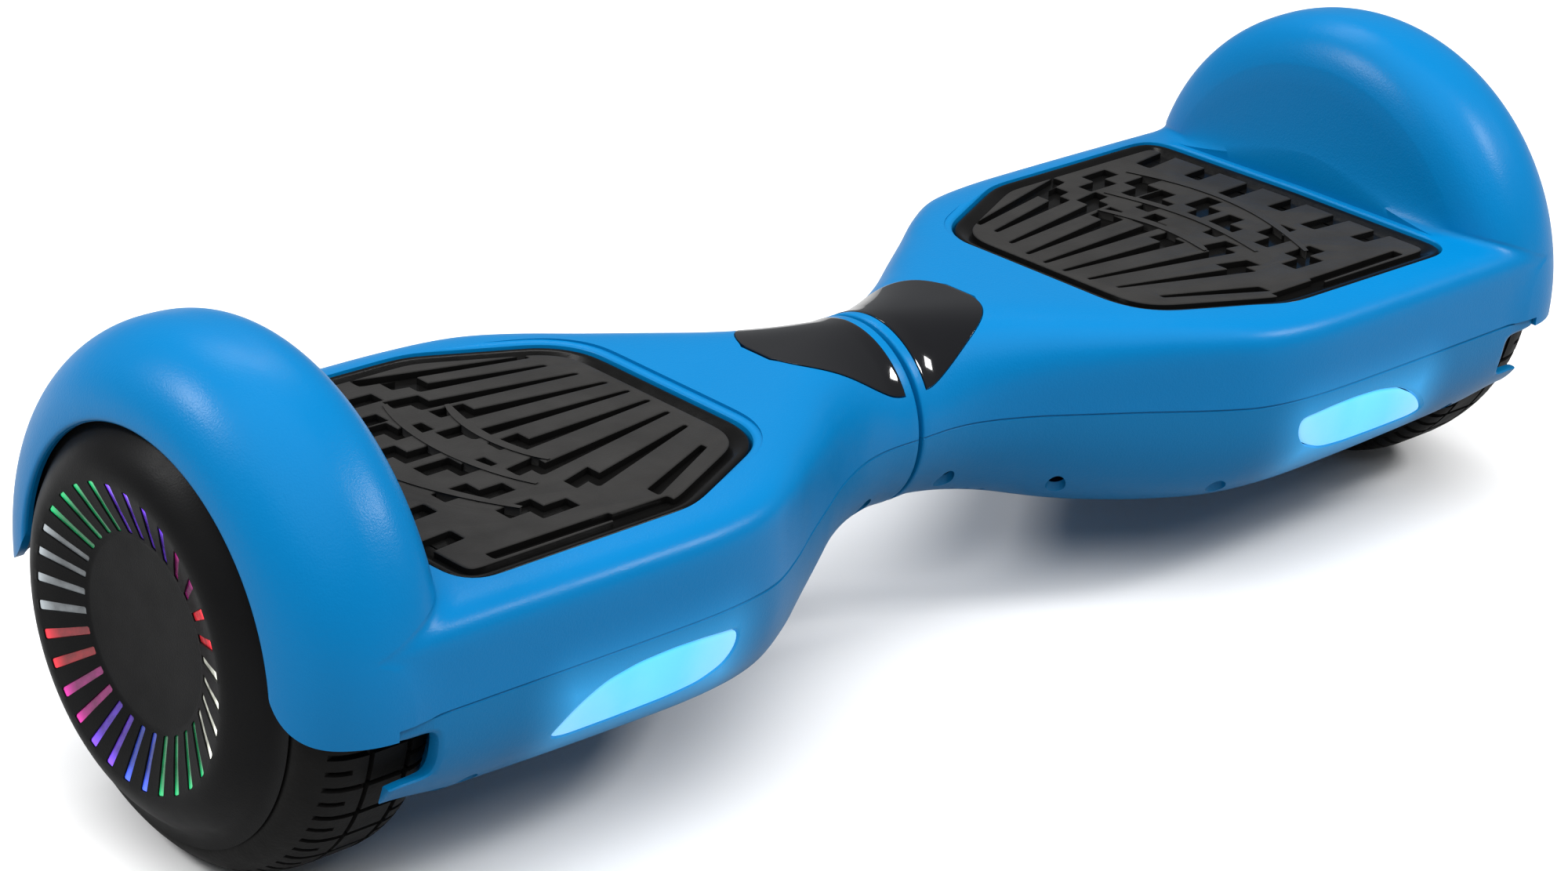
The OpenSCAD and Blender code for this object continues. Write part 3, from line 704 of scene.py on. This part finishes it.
CHEEK_X = 263.5
PAST_END = 305
NEAR_AXIS = 0.01
SEAM_DROP = 0.12
LEG_Y, LEG_Z, LEG_R = 85.2, 15, 21.5
COVER_X0, COVER_LEN, COVER_ANGLE = 5, 43, 61
LENS_OUTLINE = [(132.5, -11), (148, -9.4), (160, -9), (174, -9.6), (186, -11.8), (194, -15.6), (200, -20),
                (206, -27), (200, -28.4), (180, -28.4), (160, -28), (147, -26.6), (137, -22.5), (132.5, -17)]
SCREWS = [(20, 25), (60, 41), (110, 72), (230, 78)]
HEAD_R = 3.6
HEAD_Z = -13
WHEEL_ROOM_X, WHEEL_ROOM_R = 237.5, 85.8
AIR_SLOTS = (31, 37, 43)
AIR_SLOT_W = 1.4


def cover_rings(grow, inset0, inset1, x0, x1, steps=28, across=30):
    """Rings of a cover that wraps over the waist and narrows to a tongue."""
    rings = []
    for x in np.linspace(x0, x1, steps):
        share = max(0.0, min(1.0, (x - COVER_X0) / COVER_LEN))
        half = math.radians(min(85, max(1, COVER_ANGLE * (1 - share**1.65)) + grow))
        a = np.pi / 2 + np.linspace(-half, half, across)
        rings.append(np.concatenate([section(x, a, inset0), section(x, a[::-1], inset1)]))
    return rings


def prism_y(outline, y0, y1):
    """Rings that extrude an [x, z] outline along Y."""
    outline = np.asarray(outline, float)
    return [np.column_stack([outline[:, 0], np.full(len(outline), y), outline[:, 1]]) for y in (y0, y1)]


def smooth_outline(points, count, passes=6):
    """Closed outline through the points, resampled and rounded."""
    ring = np.array(points, float)
    ring = along(np.vstack([ring, ring[:1]]), count + 1)[:-1]
    for _ in range(passes):
        ring = (np.roll(ring, 1, 0) + 2 * ring + np.roll(ring, -1, 0)) / 4
    area = np.sum(ring[:, 0] * np.roll(ring[:, 1], -1) - ring[:, 1] * np.roll(ring[:, 0], -1))
    return ring if area > 0 else ring[::-1]


def surface_rings(outline, levels, front=-1):
    """Rings of an [x, z] outline laid on the lower body's side, at [depth below it, push] levels."""
    rings = []
    for depth, push in levels:
        grown = pushed_out(outline, push)
        y = front * (lower_depth(outline[:, 0], outline[:, 1]) - depth)
        rings.append(np.column_stack([grown[:, 0], y, grown[:, 1]]))
    return rings


def tube(path, radius, sides=8):
    """Rings of a tube along a path of points."""
    path = np.asarray(path, float)
    rings = []
    for i, p in enumerate(path):
        t = path[min(i + 1, len(path) - 1)] - path[max(i - 1, 0)]
        t /= np.linalg.norm(t)
        u = np.cross(t, (0.13, 0.21, 0.97))
        u /= np.linalg.norm(u)
        v = np.cross(t, u)
        a = np.linspace(0, 2 * np.pi, sides, endpoint=False)[:, None]
        rings.append(p + radius * (np.cos(a) * u + np.sin(a) * v))
    return rings


def seam_tubes():
    """Grooves along both sides of the seam, down its step by the fender leg."""
    made = []
    x = np.linspace(-1, CHEEK_X + 0.3, 120)
    for s in (-1, 1):
        path = np.stack([x, s * half_width(x), np.full_like(x, SEAM_Z)], -1)
        made.append(solid("groove", tube(path, 0.5)))
        down = [(CHEEK_X + 0.3, s * 90.0, z) for z in (SEAM_Z + 0.2, LEG_Z - LEG_R, -10)]
        made.append(solid("groove", tube(down, 0.45)))
    return made


def wheel_well():
    """Room for the wheel inside the fender, with its round opening."""
    line = along(fender_line(SHOULDER_R + NEAR_AXIS, WELL_WALL), 90)
    rim = OPENING_R + 0.05
    cut = [(r, x) for x, r in line if not (x > FENDER_XC and r < rim)]
    points = [(NEAR_AXIS, FENDER_X0 + WELL_WALL)] + cut
    points += [(rim, cut[-1][1]), (rim, PAST_END), (NEAR_AXIS, PAST_END)]
    return revolve("well", points, 200)


def hollow(stations, angles, past_seam):
    """Room inside a half shell; its open side reaches past the seam."""
    rings = []
    for x in stations:
        ring = section(x, angles, WALL)
        rings.append(np.vstack([ring, ring[-1] + (0, 0, past_seam), ring[0] + (0, 0, past_seam)]))
    return solid("hollow", rings)


def upper_shell():
    """Right upper shell with its fender: outer skin, then the hollow, ledge and openings."""
    angles = ray_angles(190)
    lines = np.array([profile(t) for t in angles])
    x, r = lines[..., 0], lines[..., 1]
    grid = np.stack([x, r * np.cos(angles)[:, None], r * np.sin(angles)[:, None]], -1)
    shell = solid("right_upper_shell_skin", grid.transpose(1, 0, 2), [BLUE])
    ledge = solid("ledge", stack(PAD_OUTLINE, [(13, 2.2), (PLATFORM_Z - 1.4, 2.2)]))
    leg_x = CHEEK_X + 0.6
    leg_end = LEG_Z - LEG_R
    below = [(-5, -60), (-5, SEAM_Z), (leg_x, SEAM_Z), (leg_x, leg_end), (320, leg_end), (320, -60)]
    turn = np.linspace(-np.pi / 2, math.radians(-10), 24)
    arc = [(LEG_Y - LEG_R * math.cos(t), LEG_Z + LEG_R * math.sin(t)) for t in turn]
    under = [(LEG_Y, -60)] + arc + [(-y, z) for y, z in arc[::-1]] + [(-LEG_Y, -60)]
    between_legs = [[(x, y, z) for y, z in under] for x in (leg_x, 320)]
    opening = [(12, 0), (PLATFORM_Z - 1.3, 0), (PLATFORM_Z - 0.65, 0.1), (PLATFORM_Z - 0.2, 0.5),
               (PLATFORM_Z + 0.05, 1.2), (PLATFORM_Z + 0.15, 3), (60, 3)]
    combine(shell, [hollow(np.linspace(3.6, 232, 60), np.linspace(0, np.pi, 60), -9)])
    combine(shell, [ledge], "UNION")
    combine(shell, [
        solid("opening", stack(PAD_OUTLINE, opening)),
        solid("below", prism_y(below, -130, 130)),
        solid("between_legs", between_legs),
        wheel_well(),
        solid("recess", cover_rings(0.9, -1.5, 1.4, COVER_X0 - 0.35, COVER_X0 + COVER_LEN + 0.3)),
    ] + seam_tubes())
    return shell


def lower_shell():
    """Lower shell of either half, without the pockets at the back of the right one."""
    a = np.linspace(np.pi, 2 * np.pi, 110)
    rows = np.concatenate([WAIST_STATIONS, np.linspace(3, CHEEK_X - 0.6, 130), [CHEEK_X - 0.2, CHEEK_X]])
    pull = edge_pull(rows)
    pull[-2:] = (0.15, 0.5)
    rings = [section(x, a, p) - (0, 0, SEAM_DROP) for x, p in zip(rows, pull)]
    shell = solid("right_lower_shell_skin", rings, [BLUE_LOW_SHADED])
    room = [(NEAR_AXIS, WHEEL_ROOM_X), (WHEEL_ROOM_R, WHEEL_ROOM_X), (WHEEL_ROOM_R, PAST_END), (NEAR_AXIS, PAST_END)]
    wheel = revolve("wheel_room", room, 200)
    combine(shell, [hollow(np.linspace(3.6, 233, 60), np.linspace(np.pi, 2 * np.pi, 60), 9)])
    posts = [solid("post", stack(disc(x, s * y, HEAD_R + 2), [(-46, 0), (SEAM_Z - 0.2, 0)]))
             for x, y in SCREWS[2:] for s in (-1, 1)]
    body = solid("limit", [section(x, a, 0.3) for x in np.linspace(1.2, 262, 90)])
    for post in posts:
        combine(post, [copy_of(body)], "INTERSECT")
    combine(shell, posts, "UNION")
    bpy.data.objects.remove(body)
    bores = [solid("bore", stack(disc(x, s * y, HEAD_R), [(-70, 0), (HEAD_Z, 0)]))
             for x, y in SCREWS for s in (-1, 1)]
    rounded_edge = [(9, 0), (0.9, 0), (0.35, 0.15), (0.05, 0.6), (-0.2, 1.3), (-6, 1.6)]
    recess = solid("lens_recess", surface_rings(smooth_outline(LENS_OUTLINE, 120), rounded_edge))
    notch = notch_outline()
    levels = [(10, 0), (1.6, 0), (0.8, 0.2), (0.25, 0.8), (-0.1, 1.8), (-6, 2.2)]
    notches = [solid("notch", surface_rings(notch, levels, s)) for s in (-1, 1)]
    slots = [solid("slot", slot_rings(x)) for x in AIR_SLOTS]
    combine(shell, [wheel, recess] + notches + bores + slots + seam_tubes())
    return shell


def copy_of(obj):
    return link(bpy.data.objects.new("copy", obj.data.copy()))


def disc(x, y, r, count=40):
    turns = np.linspace(0, 2 * np.pi, count, endpoint=False)
    return np.stack([x + r * np.cos(turns), y + r * np.sin(turns)], -1)


def notch_outline():
    """Round-cornered opening beside the wheel, open towards the fender leg."""
    corners = [(248.5, -8), (262, -8), (272, -5), (272, -27), (262, -24.5), (248.5, -24.5)]
    return smooth_outline(corners, 140, 60)


def slot_rings(x):
    """Vent slot across the underside of the waist, as a flat-sided cutter."""
    a = np.linspace(math.radians(240), math.radians(300), 24)
    outer, inner = section(x, a, -3), section(x, a[::-1], 5)
    ring = np.concatenate([outer, inner])
    return [ring + (-AIR_SLOT_W / 2, 0, 0), ring + (AIR_SLOT_W / 2, 0, 0)]


def round_prism_y(x, z, r, y0, y1):
    turns = np.linspace(0, 2 * np.pi, 64, endpoint=False)
    ring = np.stack([x + r * np.cos(turns), z + r * np.sin(turns)], -1)
    return prism_y(ring, y0, y1)


PORT_X, PORT_Z, PORT_FLOOR, BUTTON_X = 165, -14, 83.5, 195


def back_pockets(shell):
    """Tubs behind the right half for the charging inlet and the power button."""
    tubs = [solid("tub", round_prism_y(x, PORT_Z, r, PORT_FLOOR - 2.4, 88))
            for x, r in ((PORT_X, 13.2), (BUTTON_X, 10))]
    combine(shell, tubs, "UNION")
    combine(shell, [solid("pocket", round_prism_y(x, PORT_Z, r, y, 100)) for x, r, y in (
        (PORT_X, 10.8, PORT_FLOOR), (PORT_X, 8.2, PORT_FLOOR - 5),
        (BUTTON_X, 7.6, PORT_FLOOR), (BUTTON_X, 3.4, PORT_FLOOR - 5))])
    return shell


def build_shells():
    upper = upper_shell()
    finish_piece(mirrored(upper, "left_upper_shell_skin"), "left_half", "shell_blue", "left_upper_shell")
    finish_piece(upper, "right_half", "shell_blue", "right_upper_shell")
    lower = lower_shell()
    finish_piece(mirrored(lower, "left_lower_shell_skin"), "left_half", "shell_blue_lower", "left_lower_shell")
    finish_piece(back_pockets(lower), "right_half", "shell_blue_lower", "right_lower_shell")


# ---- Covers and headlights ------------------------------------------------------------------------


def build_cover(name, side):
    rings = cover_rings(0, -0.25, 1.2, COVER_X0, COVER_X0 + COVER_LEN - 0.6, 44, 48)
    cover = solid(f"{name}_cover_skin", rings, [GLOSS], side)
    bevel(cover, 0.35, 2, 50)
    bake_modifiers(cover)
    return finish_piece(cover, f"{name}_half", "cover_black", f"{name}_centre_cover")


def build_lens(name, side):
    """Domed lens with a rolled rim, sunk in the lower shell."""
    outline = pushed_out(smooth_outline(LENS_OUTLINE, 120), -0.45)
    centre = outline.mean(0)
    rings = []
    for share, depth in [(1, 3.2), (1, 0.9), (0.995, 0.5), (0.98, 0.2), (0.95, 0.05), (0.85, 0), (0.6, -0.1),
                         (0.35, -0.15), (0.12, -0.15)]:
        ring = centre + (outline - centre) * share
        y = -(lower_depth(ring[:, 0], ring[:, 1]) - depth)
        rings.append(np.column_stack([ring[:, 0], y, ring[:, 1]]))
    lens = solid(f"{name}_lens_body", rings, [LENS], side)
    return finish_piece(lens, f"{name}_half", "lit_lens", f"{name}_headlight_lens")


# ---- Foot pads ------------------------------------------------------------------------------------

RIB_Z = 27
CHANNELS = [(38, 53.5), (27.5, 39), (16.5, 25), (6.7, 9), (-3.3, -8.5), (-14.3, -27), (-25.2, -48)]
END_CHANNELS = [(57, 60), (36, 37), (15, 15.5), (-6, -6.5), (-26.5, -28), (-46, -48)]
CHANNEL_X0, CHANNEL_X1 = 98, 170
ARCS = [[(153, 32), (158.5, 5), (153.5, -21)],
        [(169, 44), (175.5, 5), (168, -33)],
        [(193, 55), (201, 8), (183, -44)]]


def channel_ring(ends, span, widths, shift=0.0, base=(CHANNEL_X0, CHANNEL_X1)):
    """Closed outline of a stretch of the channel that passes through ends at the base stations."""
    x = np.linspace(*span, 12)
    middle = ends[0] + (ends[1] - ends[0]) * (x - base[0]) / (base[1] - base[0]) + shift
    half = np.linspace(*widths, 12) / 2
    ring = np.vstack([np.stack([x, middle - half], -1), np.stack([x, middle + half], -1)[::-1]])
    ring = along(np.vstack([ring, ring[:1]]), 81)[:-1]
    return (np.roll(ring, 1, 0) + 6 * ring + np.roll(ring, -1, 0)) / 8


def channel_rings():
    """Outlines of all channels: long tapering ones, then short staggered stretches towards the wheel."""
    rings = []
    for index, ends in enumerate(CHANNELS):
        turn = 155 + 8 * (index % 2) - 0.05 * abs(ends[0])
        start = 97 + 0.006 * ends[0]**2
        flat = (ends[1], ends[1] * 1.02)
        wheelward = (170, 200)
        rings.append(channel_ring(ends, (start, turn), (2.2, 6.4)))
        rings.append(channel_ring(ends, (turn - 7, turn + 6), (6.6, 6.8), 5.5))
        rings.append(channel_ring(flat, (turn + 13, turn + 28), (7.0, 7.4), -1.5, wheelward))
        rings.append(channel_ring(flat, (turn + 22, turn + 36), (7.2, 7.6), 5, wheelward))
    for index, ends in enumerate(END_CHANNELS):
        rings.append(channel_ring(ends, (204 + 5 * (index % 2), 240), (7.4, 8.0), 0.0, (205, 225)))
    rings.append(channel_ring((47, 66), (106, 166), (3.0, 6.4)))
    rings.append(channel_ring((-37.5, -72), (107, 143), (3.0, 6.0)))
    rings.append(channel_ring((-70, -70), (141, 166), (13, 13)))
    rings.append(channel_ring((-64.5, -64.5), (163, 211), (5, 5)))
    return rings


def arc_ring(marks, width):
    """Closed outline of a thin arc through three marks, tapering to its ends."""
    (xa, ya), (xb, yb), (xc, yc) = marks
    t = np.linspace(0, 1, 40)
    x = xa * (1 - t) * (1 - 2 * t) + xb * 4 * t * (1 - t) + xc * t * (2 * t - 1)
    y = ya * (1 - t) * (1 - 2 * t) + yb * 4 * t * (1 - t) + yc * t * (2 * t - 1)
    half = width / 2 * (1 - np.abs(2 * t - 1) ** 5 * 0.75)
    ring = np.vstack([np.stack([x - half, y], -1), np.stack([x + half, y], -1)[::-1]])
    return ring[::-1]


def build_pad(name, side):
    """Rubber mat: a glossy base with a sloped rim, matte ribs between channels, and three thin arcs. The base and
    rib sides are painted much darker than the rib tops: glossier rubber, and partly painted shade in the channels.
    """
    levels = [(PAD_Z - 2.5, -1), (RIB_Z - 0.9, -1), (RIB_Z - 0.4, -1.15), (RIB_Z - 0.15, -1.6),
              (RIB_Z - 0.15, -2.2), (RIB_Z - 0.5, -3.6), (PAD_Z + 0.9, -6.6), (PAD_Z + 0.35, -8.2),
              (PAD_Z + 0.25, -12)]
    base = solid(f"{name}_pad_base", stack(PAD_OUTLINE, levels), [PAD_CHANNEL_SHADED], side)
    finish_piece(base, f"{name}_pad", "pad_rubber", f"{name}_foot_pad", sharp=50)
    raised = [(PAD_Z - 1.5, -7.6), (RIB_Z - 0.5, -7.6), (RIB_Z - 0.15, -7.8), (RIB_Z, -8.3)]
    land = solid(f"{name}_pad_ribs", stack(PAD_OUTLINE, raised), [PAD_CHANNEL_SHADED, PAD_TOP], side)
    cuts = [(PAD_Z + 0.1, 0), (RIB_Z - 0.5, 0), (RIB_Z - 0.15, 0.15), (RIB_Z + 0.05, 0.6), (RIB_Z + 2, 1.6)]
    combine(land, [solid("channel", stack(ring, cuts), (), side) for ring in channel_rings()])
    top = AXLE_Z + (RIB_Z - 0.6) * MM
    # Faces below the rib tops get the dark channel rubber: partly painted shade down the rib sides and on the
    # channel floors.
    for face in land.data.polygons:
        face.material_index = 1 if face.center.z > top else 0
    finish_piece(land, f"{name}_pad", "pad_rubber", sharp=50)
    crown = [(PAD_Z, 0), (RIB_Z + 0.1, 0), (RIB_Z + 0.45, -0.25), (RIB_Z + 0.5, -0.6)]
    for index, marks in enumerate(ARCS):
        rings = stack(arc_ring(marks, 2.4), crown)
        arc = solid(f"{name}_pad_arc_{index}", rings, [PAD_TOP], side)
        finish_piece(arc, f"{name}_pad", "pad_rubber", sharp=50)


# ---- Wheels ---------------------------------------------------------------------------------------

TREAD_PITCHES = 40
TREAD_DEPTH = 2.0


def build_tyre(name, side):
    """Solid tyre: rounded shoulders, with long and short cross grooves and two grooves round the tread."""
    outer = [(63.2, 244), (65, 242.2), (67.5, 240.8), (71, 240.1), (73.8, 240.4), (76.5, 241.5), (78.6, 243.2),
             (79.9, 245.2), (80.6, 247.2), (80.95, 249.4), (81, 250.6), (81, 250.8), (81, 252.2), (81, 252.4),
             (81, 255), (81, 258), (81, 261), (81, 264.3), (81, 264.5), (80.95, 265.9), (80.9, 266.1),
             (80.75, 268.5), (80.4, 271), (80.35, 271.2), (79.8, 273.8), (78.8, 276.4), (77.4, 278.8),
             (75.6, 281.2), (73.2, 283.4), (71.6, 284.6), (69.8, 285.4), (67.5, 285.6), (65, 284), (63.2, 279)]
    steps = []
    for i in range(TREAD_PITCHES):
        steps += [i + k for k in (0, 0.02, 0.15, 0.17, 0.33, 0.5, 0.52, 0.63, 0.65, 0.83)]
    turns = np.array(steps) * 2 * np.pi / TREAD_PITCHES
    points = []
    for step, t in zip(steps, turns):
        part = step % 1
        for r, x in outer:
            round_groove = 250.7 <= x <= 252.3 or 264.4 <= x <= 266.0
            long_groove = 0.01 < part < 0.16 and 243 <= x <= 276.5
            short_groove = 0.51 < part < 0.64 and (271.1 <= x <= 276.5 or 243 <= x <= 250.65)
            depth = TREAD_DEPTH if round_groove or long_groove or short_groove else 0.0
            points.append((x, (r - depth) * math.cos(t), (r - depth) * math.sin(t)))
    size, count = len(outer), len(steps)
    faces = [(i * size + j, i * size + (j + 1) % size, (i + 1) % count * size + (j + 1) % size,
              (i + 1) % count * size + j) for i in range(count) for j in range(size)]
    tyre = outward(add_object(f"{name}_tyre_tread", points, faces, [TYRE_RUBBER], side))
    return finish_piece(tyre, f"{name}_wheel", "tyre_rubber", f"{name}_tyre", sharp=38)


SLOTS = 32
SLOT_R0, SLOT_R1, SLOT_W = 31.6, 48.6, 3.3
SLOT_SHIFT = 0.25


def slot_bars(x0, x1, grow):
    """Tapered radial bars about the axle, one for each slot, as (points, faces) lists."""
    half_out, half_in, corner = SLOT_W / 2 + grow, SLOT_W / 2 - 0.35 + grow, 0.4
    r0, r1 = SLOT_R0 - grow, SLOT_R1 + grow
    outline = [(r0, half_in - corner), (r0 + corner, half_in), (r1 - corner, half_out), (r1, half_out - corner)]
    outline += [(r, -w) for r, w in outline[::-1]]
    bars = []
    for i in range(SLOTS):
        t = (i + SLOT_SHIFT) * 2 * math.pi / SLOTS
        bars.append(loft([[(x_of(r), r * math.cos(t) - w * math.sin(t), r * math.sin(t) + w * math.cos(t))
                           for r, w in outline] for x_of in (x0, x1)]))
    return bars


def joined(parts):
    """One (points, faces) pair from several."""
    points, faces, owner = [], [], []
    for index, (part_points, part_faces) in enumerate(parts):
        faces += [tuple(i + len(points) for i in f) for f in part_faces]
        owner += [index] * len(part_faces)
        points += [tuple(p) for p in part_points]
    return points, faces, owner


def build_hubcap(name, side):
    """Dished cap: flat centre, sloping ring of slots and a round shoulder."""
    front = [(NEAR_AXIS, 290), (29.5, 290), (30.4, 290.1), (31.2, 290.5), (40, 293.9), (48.6, 296.9), (50.6, 296.95),
             (52.6, 296.5), (54.6, 295.6), (56.6, 294.4), (58.6, 292.9), (60.4, 291.2), (62, 289.5),
             (63.4, 288), (65, 287), (67, 286.5), (68.5, 286.3)]
    back = [(68.2, 286.1), (63, 286.1), (62.8, 281.2), (60, 281.2), (60, 286.5), (55, 291), (50, 293),
            (31, 287), (NEAR_AXIS, 287)]
    cap = revolve(f"{name}_hubcap_shell", front + back, 256, [HUB_BLACK], side)
    points, faces, _ = joined(slot_bars(lambda r: 280.0, lambda r: 305.0, 0))
    cutter = outward(add_object("slots", points, faces, [], side))
    combine(cap, [cutter])
    return finish_piece(cap, f"{name}_wheel", "hubcap_black", f"{name}_hubcap", sharp=28)


CLEAR, GREEN, VIOLET, BLUE_LIGHT, MAGENTA, RED, WHITE, HOT_RED = range(8)
SLOT_COLOURS = ([CLEAR] * 3 + [GREEN] * 4 + [VIOLET] * 4 + [MAGENTA] * 2 + [HOT_RED] * 2 + [WHITE] * 4
                + [GREEN] * 4 + [BLUE_LIGHT] * 2 + [VIOLET] * 2 + [MAGENTA] * 2 + [RED] * 2 + [CLEAR])
GUIDES = [
    guide_paint("guide_clear", (0.72, 0.8, 0.85), 0.5),
    guide_paint("guide_green", (0.01, 0.62, 0.2), 0.9),
    guide_paint("guide_violet", (0.2, 0.06, 0.95), 1.4),
    guide_paint("guide_blue", (0.05, 0.12, 1.0), 1.3),
    guide_paint("guide_magenta", (0.75, 0.02, 0.4), 0.9),
    guide_paint("guide_red", (1.0, 0.02, 0.05), 0.8),
    guide_paint("guide_white", (0.9, 0.92, 0.8), 2.6),
    guide_paint("guide_hot_red", (1.0, 0.03, 0.05), 3.0),
]


def build_guides(name, side):
    """Lit bars in the slots, with the ring board that carries their lamps."""
    def cone(r):
        return 290.5 + (r - 31.2) * 0.37

    points, faces, owner = joined(slot_bars(lambda r: cone(r) - 3.5, lambda r: cone(r) - 0.5, -0.12))
    colours = [SLOT_COLOURS[i] for i in owner]
    bars = outward(add_object(f"{name}_guide_bars", points, faces, GUIDES, side, colours))
    finish_piece(bars, f"{name}_wheel", "light_guide", f"{name}_light_guides")
    ring = [(20, 282.2), (54, 282.2), (54, 283.8), (20, 283.8)]
    board = revolve(f"{name}_lamp_board", ring, 96, [BOARD], side)
    return finish_piece(board, f"{name}_wheel", "circuit_board")


# ---- Carried-over CAD pieces ----------------------------------------------------------------------

NODE_PAINTS = {
    "frame": CAST, "pad_tray": PLASTIC, "pad_bumpers": CABLE_RUBBER, "sensor_board": BOARD,
    "headlight_board": BOARD, "axle": STEEL, "axle_clamp": CAST, "clamp_bolts": DARK_STEEL,
    "shell_screws": DARK_STEEL, "stator": LAMINATION, "windings": COPPER, "motor_cable": CABLE_RUBBER,
    "rotor_rim": CAST, "magnets": STEEL, "motor_cover": CAST, "wheel_bearings": STEEL, "hub_screws": DARK_STEEL,
    "centre_shaft": STEEL, "shaft_bearings": BRONZE, "retaining_ring": DARK_STEEL, "battery_pack": FILM,
    "battery_strap": STRAP, "main_board": BOARD, "charge_socket": STEEL, "charge_cap": CABLE_RUBBER,
    "power_button": BUTTON,
}
ROUNDED = {"frame": 0.8, "axle_clamp": 0.6, "charge_cap": 0.4, "power_button": 0.5, "pad_tray": 0.3,
           "clamp_bolts": 0.3, "charge_socket": 0.2, "axle": 0.4, "main_board": 0.2}


def paint_cad_nodes():
    for name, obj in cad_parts.items():
        part = name.removeprefix("left_").removeprefix("right_")
        if part not in NODE_PAINTS:
            continue
        obj.data.materials.clear()
        obj.data.materials.append(NODE_PAINTS[part])
        if part in ROUNDED:
            bevel(obj, ROUNDED[part], 2, 40)


# ---- The assembly ---------------------------------------------------------------------------------

build_shells()
for side_name, side_sign in SIDES.items():
    build_cover(side_name, side_sign)
    build_lens(side_name, side_sign)
    build_pad(side_name, side_sign)
    build_tyre(side_name, side_sign)
    build_hubcap(side_name, side_sign)
    build_guides(side_name, side_sign)
paint_cad_nodes()
